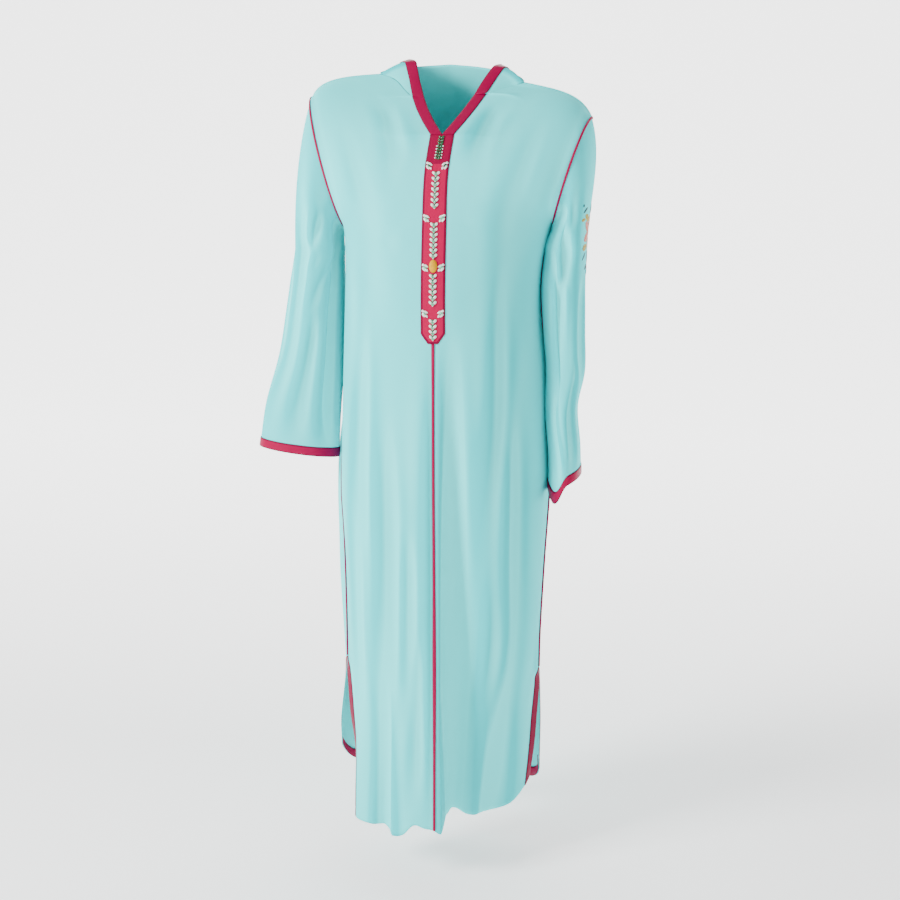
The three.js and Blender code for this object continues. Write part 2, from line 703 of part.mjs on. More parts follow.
// Joins: where pieces of the body and of the sleeves share a point, both use one direction for their walls.
// Points are the same within a twentieth of a millimetre.
const keyOf = (point) => point.toArray().map((value) => Math.round(value * 20)).join(" ");
function shareNormals(groups) {
  const shared = new Map();
  groups.forEach((grids, group) => {
    for (const grid of grids) {
      for (const { point, normal } of grid.flat()) {
        const key = keyOf(point);
        if (!shared.has(key)) shared.set(key, groups.map(() => new THREE.Vector3()));
        shared.get(key)[group].add(normal);
      }
    }
  });
  for (const { point, normal } of groups.flat(3)) {
    const sum = new THREE.Vector3();
    for (const part of shared.get(keyOf(point))) {
      if (part.lengthSq() > 0) sum.add(part.clone().normalize());
    }
    if (sum.length() > 0.05) normal.copy(sum.normalize());
  }
}

// Draws the edges of a panel in, square to each edge, so that neighbours stay apart. No point moves by more
// than a share of its way to the next one.
const MOST_DRAWN = 0.4;
function drawIn(grid, closed, amount = GAP / 2) {
  const last = grid.length - 1;
  const end = grid[0].length - 1;
  const at = (i, j) => grid[clampTo(i, last)][clampTo(j, end)].point;
  const inward = (i, j, di, dj) => {
    const way = at(i + di, j + dj).clone().sub(at(i, j));
    const along = at(i + dj, j + di).clone().sub(at(i - dj, j - di)).normalize();
    way.addScaledVector(along, -way.dot(along));
    const length = way.length();
    return way.multiplyScalar(Math.min(amount / length, MOST_DRAWN));
  };
  return grid.map((row, i) =>
    row.map(({ point, normal }, j) => {
      const moved = point.clone();
      if (i === 0) moved.add(inward(i, j, 1, 0));
      if (i === last) moved.add(inward(i, j, -1, 0));
      if (!closed && j === 0) moved.add(inward(i, j, 0, 1));
      if (!closed && j === end) moved.add(inward(i, j, 0, -1));
      return { point: moved, normal };
    }),
  );
}

// A closed solid between a grid's points, moved out by high, and the same points moved out by low.
function wall(grid, low, high, closed = false) {
  const rows = grid.length;
  const columns = grid[0].length;
  const positions = [];
  for (const level of [high, low]) {
    for (const { point, normal } of grid.flat()) {
      positions.push(...point.clone().addScaledVector(normal, level).toArray());
    }
  }
  const count = rows * columns;
  const index = [];
  const a = grid[0][0].point;
  const across = grid[0][1].point.clone().sub(a);
  const downward = grid[1][0].point.clone().sub(a);
  const flip = across.cross(downward).dot(grid[0][0].normal) > 0;
  const triangle = (p, q, r) => (flip ? index.push(p, r, q) : index.push(p, q, r));
  const quad = (p, q, r, s) => {
    triangle(p, q, r);
    triangle(p, r, s);
  };
  const at = (i, j) => i * columns + (j % columns);
  const across2 = closed ? columns : columns - 1;
  for (let i = 0; i < rows - 1; i += 1) {
    for (let j = 0; j < across2; j += 1) {
      const [p, q, r, s] = [at(i, j), at(i + 1, j), at(i + 1, j + 1), at(i, j + 1)];
      quad(p, q, r, s);
      triangle(count + p, count + r, count + q);
      triangle(count + p, count + s, count + r);
    }
  }
  for (let j = 0; j < across2; j += 1) {
    quad(at(0, j + 1), count + at(0, j + 1), count + at(0, j), at(0, j));
    quad(at(rows - 1, j), count + at(rows - 1, j), count + at(rows - 1, j + 1), at(rows - 1, j + 1));
  }
  if (!closed) {
    for (let i = 0; i < rows - 1; i += 1) {
      const e = columns - 1;
      quad(at(i, 0), count + at(i, 0), count + at(i + 1, 0), at(i + 1, 0));
      quad(at(i + 1, e), count + at(i + 1, e), count + at(i, e), at(i, e));
    }
  }
  const geometry = new THREE.BufferGeometry();
  geometry.setAttribute("position", new THREE.Float32BufferAttribute(positions, 3));
  geometry.setIndex(index);
  return geometry;
}

// Materials
const paint = (color, roughness) => new THREE.MeshStandardMaterial({ color, roughness, metalness: 0 });
const CLOTH_FINISH = paint(0xaae4e2, 0.7);
const BAND_FINISH = paint(0xe8235f, 0.45);
const PIPING_FINISH = paint(0xb31453, 0.5);
const BEAD_FINISH = paint(0x9fd8bb, 0.25);
const STONE_FINISH = paint(0xf0b020, 0.15);

// Some rows of a grid
const pickRows = (grid, rows, from, to) => grid.slice(rows.indexOf(from), rows.indexOf(to) + 1);

// A point between the points of a grid, at a row and a column that need not be whole.
function between(grid, row, column) {
  const i = clampTo(Math.floor(row), grid.length - 2);
  const j = clampTo(Math.floor(column), grid[0].length - 2);
  const blend = (name) => {
    const upper = grid[i][j][name].clone().lerp(grid[i][j + 1][name], column - j);
    const lower = grid[i + 1][j][name].clone().lerp(grid[i + 1][j + 1][name], column - j);
    return upper.lerp(lower, row - i);
  };
  return { point: blend("point"), normal: blend("normal").normalize() };
}

// A tube through sections of the same number of points, flat at both ends.
function tube(sections) {
  const count = sections[0].length;
  const positions = sections.flat().flatMap((point) => point.toArray());
  const index = [];
  for (let i = 0; i < sections.length - 1; i += 1) {
    for (let j = 0; j < count; j += 1) {
      const next = (j + 1) % count;
      const [p, q] = [i * count + j, i * count + next];
      index.push(p, q, q + count, p, q + count, p + count);
    }
  }
  const top = (sections.length - 1) * count;
  for (let j = 1; j < count - 1; j += 1) {
    index.push(0, j + 1, j);
    index.push(top, top + j, top + j + 1);
  }
  const [a, b, c] = [0, 1, count].map((i) => new THREE.Vector3().fromArray(positions, 3 * i));
  const outward = b.clone().sub(a).cross(c.clone().sub(a));
  const middle = sections[0].reduce((sum, point) => sum.add(point), new THREE.Vector3()).divideScalar(count);
  if (outward.dot(a.clone().add(b).multiplyScalar(0.5).sub(middle)) < 0) index.reverse();
  const geometry = new THREE.BufferGeometry();
  geometry.setAttribute("position", new THREE.Float32BufferAttribute(positions, 3));
  geometry.setIndex(index);
  return geometry;
}

// Piping on a seam: at each place the seam's point, and the next point of the cloth on either side. Its
// section is rounded by corners at a share of its half width and height.
const PIPING_CORNER = 0.75;
function piping(places) {
  const along = (i) => places[clampTo(i + 1, places.length - 1)].point
    .clone().sub(places[clampTo(i - 1, places.length - 1)].point).normalize();
  const sections = places.map(({ point, normal, one, other }, i) => {
    const way = along(i);
    const [left, right] = [one, other].map((beside) => {
      const aside = beside.clone().sub(point);
      return aside.addScaledVector(way, -aside.dot(way)).normalize();
    });
    const corner = (aside, reach, height) =>
      point.clone().addScaledVector(aside, reach * PIPING_HALF).addScaledVector(normal, height);
    return [
      corner(left, 1, GAP),
      corner(left, PIPING_CORNER, PIPING_HEIGHT * PIPING_CORNER),
      corner(left, 0, PIPING_HEIGHT),
      corner(right, PIPING_CORNER, PIPING_HEIGHT * PIPING_CORNER),
      corner(right, 1, GAP),
      corner(right, 0, GAP),
    ];
  });
  return tube(sections);
}

// A low dome on the placket: an oval or lobed outline round a middle, rising to a height in rings that are
// given by their size and level.
const DOME_RINGS = [[1, 0], [0.98, 0.45], [0.72, 0.85], [0.3, 1]];
function dome(across, z, { halfWidth, halfHeight, height, lobes, points }, tilt) {
  const ring = (size, level) =>
    Array.from({ length: points }, (_, k) => {
      const angle = (2 * Math.PI * k) / points;
      const swell = 1 - lobes * (0.5 - 0.5 * Math.cos(4 * angle));
      const x = size * swell * halfWidth * Math.cos(angle);
      const y = size * swell * halfHeight * Math.sin(angle);
      const turned = radians(tilt);
      const dx = x * Math.cos(turned) - y * Math.sin(turned);
      const dz = x * Math.sin(turned) + y * Math.cos(turned);
      const { point, normal } = onPlacket(across + dx, z + dz);
      return point.addScaledVector(normal, level);
    });
  return tube(DOME_RINGS.map(([size, level]) => ring(size, ON_PLACKET + height * level)));
}

const robe = new THREE.Group();
function add(name, geometry, material) {
  const mesh = new THREE.Mesh(geometry, material);
  mesh.name = name;
  robe.add(mesh);
}

// The cloth panels
const front = { right: frontGrid("right"), left: frontGrid("left") };
const back = backGrid();
const sleeve = { right: sleeveGrid("right"), left: sleeveGrid("left") };
const hood = hoodGrid();
shareNormals([
  [front.right, front.left, back],
  [sleeve.right, sleeve.left],
]);
for (const side of ["right", "left"]) {
  straightenSeam(front[side], FRONT_COLUMNS[side]);
  add(`front_${side}`, wall(drawIn(front[side], false), -CLOTH, 0), CLOTH_FINISH);
  add(`sleeve_${side}`, wall(drawIn(sleeve[side], true), -CLOTH, 0, true), CLOTH_FINISH);
}
add("back", wall(drawIn(back, false), -CLOTH, 0), CLOTH_FINISH);
const drawnHood = drawIn(hood, false, HOOD_CLEAR);
add("hood", wall(drawnHood, -CLOTH, 0), CLOTH_FINISH);

// Pink bands on the edges
const NECK_TOP_ROW = 0.25;
for (const side of ["right", "left"]) {
  const bandCount = FRONT_COLUMNS[side].filter((column) => column.band !== undefined).length;
  const neckBand = pickRows(front[side], ROWS, NECK_TOP_ROW, V_SHARE).map((row) => row.slice(0, bandCount));
  add(`neck_band_${side}`, wall(drawIn(neckBand, false), GAP, GAP + TRIM), BAND_FINISH);
  const cuff = pickRows(sleeve[side], sleeveRows(side), cuffRow(side), 2);
  add(`cuff_band_${side}`, wall(drawIn(cuff, true), GAP, GAP + TRIM, true), BAND_FINISH);
}
add("hood_band", wall(drawnHood.slice(-2), GAP, GAP + TRIM), BAND_FINISH);

// Slit bands: the outermost columns from the top of the slit, where they are narrow, to the hem
const SLIT_BAND_TOP = 0.75;
function slitBand(grid, first) {
  const rows = pickRows(grid, ROWS, SLIT_ROW, 2).map((row) => (first ? row.slice(0, 2) : row.slice(-2)));
  const edge = rows[0][first ? 0 : 1];
  const narrowed = ({ point, normal }) => ({
    point: point.clone().lerp(edge.point, SLIT_BAND_TOP),
    normal,
  });
  return [rows[0].map(narrowed), ...rows.slice(1)];
}
const slitBands = {
  slit_band_front_right: slitBand(front.right, false),
  slit_band_front_left: slitBand(front.left, false),
  slit_band_back_right: slitBand(back, true),
  slit_band_back_left: slitBand(back, false),
};
for (const [name, grid] of Object.entries(slitBands)) {
  add(name, wall(drawIn(grid, false), GAP, GAP + TRIM), BAND_FINISH);
}
const facing = pickRows(back, ROWS, FACING_ROW, 2);
add("back_hem_facing", wall(drawIn(facing, false), -CLOTH - GAP - TRIM, -CLOTH - GAP), BAND_FINISH);

// The placket runs over both fronts' band columns from the V point to its pointed end.
const PLACKET_ROWS = ROWS.slice(ROWS.indexOf(V_SHARE), ROWS.indexOf(rowAt(PLACKET_TIP)) + 1);
const POINT_WIDTH = 0.45;
const rightBand = FRONT_COLUMNS.right.filter((column) => column.band !== undefined);
const leftBand = FRONT_COLUMNS.left.filter((column) => column.band !== undefined);
const placketOffsets = [
  ...rightBand.map(({ band }) => -band * NECK_BAND).reverse(),
  ...leftBand.slice(1).map(({ band }) => band * NECK_BAND),
];
const placket = PLACKET_ROWS.map((value) => {
  const i = ROWS.indexOf(value);
  const right = front.right[i].slice(0, rightBand.length).reverse();
  return [...right, ...front.left[i].slice(1, leftBand.length)];
});
const ON_PLACKET = GAP + TRIM + GAP;

// A point of the placket by its distance from the middle line and its height.
function onPlacket(across, z) {
  const toChest = (V_POINT - z) / (V_POINT - CHEST);
  const wanted = z > CHEST ? mix(V_SHARE, 1, toChest) : rowAt(z);
  const place = (list, value) => {
    const i = clampTo(list.findIndex((entry) => entry > value) - 1, list.length - 2);
    return i + (value - list[i]) / (list[i + 1] - list[i]);
  };
  return between(placket, place(PLACKET_ROWS, wanted), place(placketOffsets, across));
}

const pointed = placket.map((row, i) => {
  if (i < placket.length - 1) return row;
  const middle = row[rightBand.length - 1].point;
  return row.map(({ point, normal }) => ({ point: middle.clone().lerp(point, POINT_WIDTH), normal }));
});
add("placket", wall(drawIn(pointed, false), GAP, GAP + TRIM), BAND_FINISH);

// Bead columns: a strip of chevrons, each as wide as the column at its lower end
const BEAD_HALF = 5.7;
const BEAD_NECK = 4.1;
const BEAD_DROP = 3;
const BEAD_HEIGHT = 2.6;
const BEAD_SHOULDER = 0.7;
const BEAD_ROWS = table("top bottom chevrons", [
  [-119, -155, 4],
  [-174, -235, 7],
  [-257, -314, 7],
  [-339, -391, 6],
  [-412, -443, 4],
]);
BEAD_ROWS.forEach(({ top, bottom, chevrons }, order) => {
  const pitch = (top - bottom) / chevrons;
  const strip = Array.from({ length: 2 * chevrons + 1 }, (_, k) => {
    const z = top - (k * pitch) / 2;
    const half = k % 2 === 0 ? BEAD_HALF : BEAD_NECK;
    const drop = k === 0 ? 0 : BEAD_DROP;
    const middle = onPlacket(0, z - drop + BEAD_DROP / 2);
    const sides = [-half, half].map((across) => onPlacket(across, z + BEAD_DROP / 2));
    const raised = middle.point.clone().addScaledVector(middle.normal, ON_PLACKET + BEAD_HEIGHT);
    const edges = sides.map(({ point, normal }) => [
      point.clone().addScaledVector(normal, ON_PLACKET),
      point.clone().addScaledVector(normal, ON_PLACKET + BEAD_HEIGHT * BEAD_SHOULDER),
    ]);
    const under = middle.point.clone().addScaledVector(middle.normal, ON_PLACKET);
    return [edges[0][0], edges[0][1], raised, edges[1][1], edges[1][0], under];
  });
  add(`bead_row_${order + 1}`, tube(strip), BEAD_FINISH);
});

// Leaf-shaped bead groups beside the columns, and the stone
const SPRIG_OUT = 13.2;
const SPRIG_TILT = 28;
const SPRIG_Z = [-166, -250, -329, -403];
const SPRIG = { halfWidth: 6, halfHeight: 4.4, height: 2.6, lobes: 0.3, points: 12 };
const STONE_Z = -326.5;
const STONE = { halfWidth: 6.2, halfHeight: 10, height: 4.5, lobes: 0, points: 16 };
SPRIG_Z.forEach((z, order) => {
  for (const [side, { sign }] of Object.entries(SIDES)) {
    const leaf = dome(sign * SPRIG_OUT, z, SPRIG, sign * SPRIG_TILT);
    add(`bead_sprig_${side}_${order + 1}`, leaf, BEAD_FINISH);
  }
});
add("centre_stone", dome(0, STONE_Z, STONE, 0), STONE_FINISH);

// Piping on the seams. On the armhole it stops where body and sleeve close up under the arm.
// On the side seam it starts a little below the underarm.
const PIPING_ENDS = 0.9;
const PIPING_SHORT = 0.5;
const sideRows = ROWS.slice(ROWS.indexOf(rowAt(SIDE_PIPING_TOP)), ROWS.indexOf(SLIT_ROW) + 1);
const shorten = (places) => {
  const [before, end] = places.slice(-2);
  const share = PIPING_SHORT / before.point.distanceTo(end.point);
  const moved = end.point.clone().lerp(before.point, share);
  return [...places.slice(0, -1), { ...end, point: moved }];
};
for (const side of ["right", "left"]) {
  const backEdge = (i, step) => {
    const row = back[i];
    return side === "right" ? row[step].point : row[row.length - 1 - step].point;
  };
  const loop = [
    ...UPPER_ROWS.filter((row) => row <= PIPING_ENDS).map((row) => ["front", row]).reverse(),
    ...UPPER_ROWS.filter((row) => row > 0 && row <= PIPING_ENDS).map((row) => ["back", row]),
  ];
  const ring = loop.map(([face, row]) => {
    const i = ROWS.indexOf(row);
    const edge = front[side][i].length - 1;
    const round = SLEEVE_ROUND.indexOf(face === "front" ? row : 2 - row);
    const own = sleeve[side][0][round];
    const body = face === "front" ? front[side][i][edge - 1].point : backEdge(i, 1);
    return { point: own.point, normal: own.normal, one: body, other: sleeve[side][1][round].point };
  });
  add(`armhole_piping_${side}`, piping(ring), PIPING_FINISH);
  const seam = sideRows.map((value) => {
    const i = ROWS.indexOf(value);
    const [beside, own] = front[side][i].slice(-2);
    return { point: own.point, normal: own.normal, one: beside.point, other: backEdge(i, 1) };
  });
  add(`side_piping_${side}`, piping(shorten(seam)), PIPING_FINISH);
}
const middleSeam = ROWS.slice(ROWS.indexOf(rowAt(PLACKET_TIP))).map((value) => {
  const i = ROWS.indexOf(value);
  const [own, beside] = front.right[i];
  return { point: own.point, normal: own.normal, one: beside.point, other: front.left[i][1].point };
});
add("centre_piping", piping(shorten(shorten([...middleSeam].reverse())).reverse()), PIPING_FINISH);

export default robe;
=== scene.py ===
# %% [markdown]
# # A djellaba in cells
#
# A djellaba is a long hooded robe of thin cloth, pulled on over the head. This one has a
# pink satin band up the neck and round the hood, a beaded strip down the chest, piped
# seams, banded cuffs and slits. It is shown worn, with nobody inside.
#
# A robe could be simulated from flat cut pieces, but then the folds fall where the
# simulation wants them. Here each cut piece is a surface worked out with numpy from the
# sizes of the robe, so every fold can be placed where the photograph has it.

import math

import bpy
import numpy as np
from mathutils import Matrix


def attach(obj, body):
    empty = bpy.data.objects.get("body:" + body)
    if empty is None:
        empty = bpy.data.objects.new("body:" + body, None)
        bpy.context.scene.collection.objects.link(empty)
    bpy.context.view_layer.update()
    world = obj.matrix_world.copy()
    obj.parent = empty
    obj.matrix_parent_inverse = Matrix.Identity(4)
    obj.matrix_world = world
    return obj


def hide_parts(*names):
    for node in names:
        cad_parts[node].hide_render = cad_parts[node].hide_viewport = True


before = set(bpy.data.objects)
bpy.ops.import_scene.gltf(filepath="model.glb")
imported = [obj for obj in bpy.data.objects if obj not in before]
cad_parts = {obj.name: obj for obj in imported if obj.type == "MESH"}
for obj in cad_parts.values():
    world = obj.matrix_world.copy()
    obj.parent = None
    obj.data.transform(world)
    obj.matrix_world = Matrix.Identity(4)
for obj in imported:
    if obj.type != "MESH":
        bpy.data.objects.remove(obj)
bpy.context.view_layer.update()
MM = 0.001

# %% [markdown]
# ## Sizes
#
# The robe's sizes are kept in short tables, in millimetres and degrees, with a name for
# each column. Heights run down from the shoulders, so most are negative. A smooth curve
# through the rows gives every place between them.


# %% Tables and how they are read
def table(names, rows):
    """Columns by name, from rows of sizes."""
    return dict(zip(names.split(), np.array(rows, float).T))


def read(rows, column, at, smooth=True):
    """A column at any place along the first one: between two rows a cubic whose slope at each
    row is that from the row before to the row after, or a straight line."""
    x, y = rows[next(iter(rows))], rows[column]
    at = np.asarray(at, float)
    if x[-1] < x[0]:
        x, at = -x, -at
    at = np.clip(at, x[0], x[-1])
    i = np.clip(np.searchsorted(x, at) - 1, 0, len(x) - 2)
    step = x[i + 1] - x[i]
    t = (at - x[i]) / step
    if not smooth:
        return y[i] + (y[i + 1] - y[i]) * t
    before, after = np.maximum(np.arange(len(x)) - 1, 0), np.minimum(np.arange(len(x)) + 1, len(x) - 1)
    slope = (y[after] - y[before]) / (x[after] - x[before])
    rise = (y[i + 1] - y[i]) * t * t * (3 - 2 * t)
    return y[i] + rise + step * (slope[i] * t * (1 - t) ** 2 - slope[i + 1] * t * t * (1 - t))


def each(rows):
    """The rows of a table one by one, as sizes by name."""
    return [dict(zip(rows, sizes)) for sizes in zip(*rows.values())]


def mix(a, b, t):
    """From a at t = 0 to b at t = 1."""
    return a + (b - a) * t


def ease(t):
    """0 to 1, slow at both ends: 3 t^2 - 2 t^3."""
    t = np.clip(t, 0, 1)
    return t * t * (3 - 2 * t)


def vector(x, y, z):
    """Three arrays as one array of points."""
    return np.stack(np.broadcast_arrays(x, y, z), -1).astype(float)


def unit(v):
    """The same directions, one long."""
    return v / np.maximum(np.linalg.norm(v, axis=-1, keepdims=True), 1e-9)


# %% Sizes of the body
NECK_BAND, SLIT_BAND, CUFF_BAND, HOOD_BAND, HEM_FACING = 20.5, 16.5, 16.0, 20.0, 21.0
V_POINT, CHEST, PLACKET_CORNER, PLACKET_TIP = -115.0, -262.0, -436.0, -452.5
FRONT_HEM, BACK_HEM = -1313.0, -1290.0
V_SHARE, SLIT_SHARE, FULLNESS, BACK_NECK_SHARE = 0.4, 0.74, 0.64, 0.4
ARMHOLE_FRONT, ARMHOLE_BACK = 72.0, 80.0

FRONT_MIDDLE = table("z x y", [
    (V_POINT, 6, -95), (-180, -2, -112), (CHEST, -3, -130), (-365, -3.5, -143), (-450, -3.5, -144),
    (-690, -4, -140), (-880, -3, -142), (-1100, -2.5, -146), (-1330, -2.5, -152)])
BACK_MIDDLE = table("z y", [
    (13, 63), (-40, 82), (-110, 96), (-262, 104), (-480, 98), (-690, 112), (-880, 119), (-1300, 124)])
# An edge's place is how far out and back it lies. Its turn is the way in which the cloth runs
# there, in degrees from straight out to the side: at 90 it runs straight back.
EDGE_COLUMNS = "z out back turn"
SHARE_COLUMNS = "share out back turn"
POINT_COLUMNS = "share x y z"
# tip and under are the shoulder tip and the underarm, out and up. The armhole leans in by lean,
# the shoulder falls by fall, and the lifts raise the slits' corners above the hem.
RIGHT = dict(
    sign=-1, tip=(231, -45), under=(174, -266), lean=1.0, slope=2, fall=72, hem=-1313,
    front_lift=-12, back_lift=80,
    neck=table(POINT_COLUMNS, [
        (0, -112, 4, -7), (0.07, -95, -1, -12), (0.13, -80, -10, -21), (0.18, -66, -24, -36),
        (0.22, -53, -37, -48), (0.25, -32, -37, -50), (0.3, -22, -56, -72), (0.35, -9, -76, -94),
        (V_SHARE, 6, -95, V_POINT)]),
    back_neck=table(POINT_COLUMNS, [
        (0, 0, 63, 13), (0.3, -46, 58, 10), (0.6, -82, 44, 5), (0.82, -104, 24, -1), (1, -112, 4, -7)]),
    seam=table(EDGE_COLUMNS, [
        (-266, 174, 0, 90), (-320, 172, 0, 90), (-460, 178, 0, 90), (-560, 183, 0, 90),
        (-650, 187, 0, 90), (-734, 190, -1, 88), (-800, 186, -6, 82), (-870, 183, -11, 76),
        (-974, 180, -20, 70), (-1042, 179, -25, 68)]),
    front_edge=table(SHARE_COLUMNS, [
        (0, 179, -25, 68), (0.06, 180, -28, 56), (0.15, 178, -34, 48), (0.35, 171, -48, 52),
        (0.55, 160, -61, 72), (0.78, 156, -70, 94), (1, 155, -80, 98)]),
    back_edge=table(SHARE_COLUMNS, [
        (0, 179, -25, 68), (0.15, 184, -15, 72), (0.4, 192, -4, 80), (0.7, 200, 5, 90), (1, 202, 16, 98)]))
LEFT = dict(
    sign=1, tip=(247, -83), under=(184, -258), lean=0.8, slope=12, fall=66, hem=-1336,
    front_lift=74, back_lift=84,
    neck=table(POINT_COLUMNS, [
        (0, 131, 3, -24), (0.07, 114, -1, -29), (0.13, 98, -9, -34), (0.18, 84, -19, -40),
        (0.22, 73, -28, -43.5), (0.25, 52, -26, -45), (0.3, 37, -50, -70), (0.35, 22, -74, -93),
        (V_SHARE, 6, -95, V_POINT)]),
    back_neck=table(POINT_COLUMNS, [
        (0, 0, 63, 13), (0.3, 50, 58, 7), (0.6, 92, 46, -3), (0.82, 120, 26, -14), (1, 131, 3, -24)]),
    seam=table(EDGE_COLUMNS, [
        (-258, 184, 0, 90), (-300, 171, 0, 90), (-352, 165, 0, 90), (-418, 167, 0, 90),
        (-468, 173, 0, 90), (-530, 178, 0, 90), (-603, 178, 0, 90), (-650, 182, 0, 90),
        (-704, 185, 0, 90), (-853, 177, 0, 88), (-985, 171, 0, 86), (-1056, 170, 0, 84)]),
    front_edge=table(SHARE_COLUMNS, [
        (0, 170, 0, 84), (0.06, 171, -1, 68), (0.15, 172, -3, 58), (0.4, 169, -9, 52), (0.7, 165, -14, 53),
        (1, 157, -18, 62)]),
    back_edge=table(SHARE_COLUMNS, [
        (0, 170, 0, 84), (0.15, 171, 6, 84), (0.5, 173, 14, 84), (1, 172, 24, 84)]))
SIDES = {"right": RIGHT, "left": LEFT}

# %% Long folds of the body
# A fold starts at its top and is fully pressed in at full. Across, the cloth goes in from start
# to in, and comes out from out to end, here and at the hem.
FOLD_COLUMNS = "top full depth start in out end start_hem in_hem out_hem end_hem"
FRONT_FOLDS = table(FOLD_COLUMNS, [
    (-520, -1313, 76, 4, 24, 34, 100, 11, 20, 46, 152),
    (-900, -1313, 15, -112, -98, -94, -82, -119, -98, -92, -78),
    (-560, -1250, 9, 84, 100, 104, 126, 92, 108, 112, 134)])
BACK_FOLDS = table(FOLD_COLUMNS, [
    (-560, -1250, 24, -150, -122, -112, -84, -162, -128, -116, -82),
    (-480, -1290, 32, -66, -46, -38, -14, -74, -50, -40, -8),
    (-600, -1290, 28, 18, 36, 44, 70, 12, 36, 46, 78),
    (-420, -1200, 20, 84, 102, 110, 138, 88, 108, 118, 150)])
HEM_RISE = table("x rise", [
    (-160, 0), (-97, -3), (-82, -15), (-60, -12), (-39, 9), (-21, 5), (-5, 2), (10, -5), (20, 8),
    (46, 3), (84, 4), (130, 0)])
print("front folds:", len(FRONT_FOLDS["top"]), "back folds:", len(BACK_FOLDS["top"]))

# %% [markdown]
# ## The body
#
# Each front panel and each half of the back is one surface. Going down it, `down` is 0 on
# the shoulder seam, 1 at the underarm and 2 at the hem. Going across, `u` is 0 on the
# middle line and 1 on the armhole, side seam or slit. Every row across is a Bezier curve
# whose handles give the fullness of the chest and skirt, and folds are pressed into it.


# %% The edges of a panel
TURN_POWER, FALL_SHARE, SLOPE_SHARE = 1.2, 0.6, 0.3
BACK_NECK_Z, BACK_CHEST_Z = 13, -240


def outside(side, face):
    """The sign that turns the cross product of a panel's steps across and down to its outside."""
    return SIDES[side]["sign"] * (-1 if face == "front" else 1)


def armhole(side, face, share):
    """Half of the armhole loop, from the shoulder tip at 0 to the underarm at 1: a half circle in
    height, leaning in towards the underarm."""
    s = SIDES[side]
    angle = np.pi * share
    down = (1 - np.cos(angle)) / 2
    reach = -ARMHOLE_FRONT if face == "front" else ARMHOLE_BACK
    out = mix(s["tip"][0], s["under"][0], down ** s["lean"])
    return vector(s["sign"] * out, reach * np.sin(angle), mix(s["tip"][1], s["under"][1], down))


def outer_edge(side, face, down):
    """Point, direction of the cloth and lift of the corner, along armhole, side seam and slit."""
    s, front = SIDES[side], face == "front"
    turn = np.radians(90 * np.clip(down, 0, 1) ** TURN_POWER)
    fall = np.radians(s["fall"] * (1 - ease(down / FALL_SHARE)))
    onward = 1 if front else -1
    level = np.cos(fall)
    upper_way = vector(s["sign"] * np.cos(turn) * level, onward * np.sin(turn) * level, -np.sin(fall))
    share = down - 1
    z = mix(s["under"][1], s["hem"], share)
    slit = (share - SLIT_SHARE) / (1 - SLIT_SHARE)
    is_open = share > SLIT_SHARE
    edge = s["front_edge"] if front else s["back_edge"]
    out, back, angle = (
        np.where(is_open, read(edge, column, slit), read(s["seam"], column, z))
        for column in ("out", "back", "turn"))
    angle = np.radians(angle)
    lower_way = vector(onward * s["sign"] * np.cos(angle), onward * np.sin(angle), 0 * angle)
    above = (down <= 1)[..., None]
    point = np.where(above, armhole(side, face, np.clip(down, 0, 1)), vector(s["sign"] * out, back, z))
    lift = np.where(is_open, slit * (s["front_lift"] if front else s["back_lift"]), 0)
    return point, np.where(above, upper_way, lower_way), lift


def inner_edge(side, face, down):
    """Point and slope along the neckline and the middle of the front, or the middle of the back."""
    s = SIDES[side]
    share = down - 1
    if face == "back":
        z = np.where(down <= 1, mix(BACK_NECK_Z, BACK_CHEST_Z, down), mix(BACK_CHEST_Z, BACK_HEM, share))
        return vector(0 * z, read(BACK_MIDDLE, "y", z), z), 0 * z
    upper = mix(V_POINT, CHEST, (down - V_SHARE) / (1 - V_SHARE))
    z = np.where(down <= 1, upper, mix(CHEST, FRONT_HEM, share))
    middle = vector(read(FRONT_MIDDLE, "x", z), read(FRONT_MIDDLE, "y", z), z)
    neck = vector(*(read(s["neck"], column, down, smooth=False) for column in "xyz"))
    slope = np.radians(s["slope"] * (1 - ease(down / SLOPE_SHARE)))
    return np.where((down < V_SHARE)[..., None], neck, middle), slope


print("right underarm:", armhole("right", "front", 1.0).round(1))

# %% Rows and folds
INNER_HANDLE, OUTER_HANDLE, DROP_END, DROP_EASE = 0.55, 0.15, 1.12, 0.12
HEM_START, HEM_EASE, BACK_TOP_SHARE = 1.88, 0.12, 0.35
FRONT_CORNER_POWER, BACK_CORNER_POWER, FOLD_POWER = 3, 4, 1.5


def panel_row(side, face, down):
    """The four control points of each row across, with the lengths of its two handles."""
    inner, slope = inner_edge(side, face, down)
    outer, way, lift = outer_edge(side, face, down)
    step = outer - inner
    inner_handle = INNER_HANDLE * np.abs(step[..., 0])
    drop = np.abs(step[..., 2]) * ease((DROP_END - down) / DROP_EASE)
    outer_handle = np.hypot(FULLNESS * (np.abs(step[..., 1]) + drop), OUTER_HANDLE * step[..., 0])
    start = vector(SIDES[side]["sign"] * np.cos(slope), 0 * slope, -np.sin(slope))
    second = inner + start * inner_handle[..., None]
    third = outer - way * outer_handle[..., None]
    return inner, second, third, outer, inner_handle, outer_handle, lift


def bezier(a, b, c, d, t):
    """A cubic curve's points and directions: weights (1-t)^3, 3t(1-t)^2, 3t^2(1-t), t^3."""
    t = t[..., None]
    point = a * (1 - t) ** 3 + 3 * b * t * (1 - t) ** 2 + 3 * c * t * t * (1 - t) + d * t ** 3
    way = (b - a) * (1 - t) ** 2 + 2 * (c - b) * t * (1 - t) + (d - c) * t * t
    return point, unit(way)


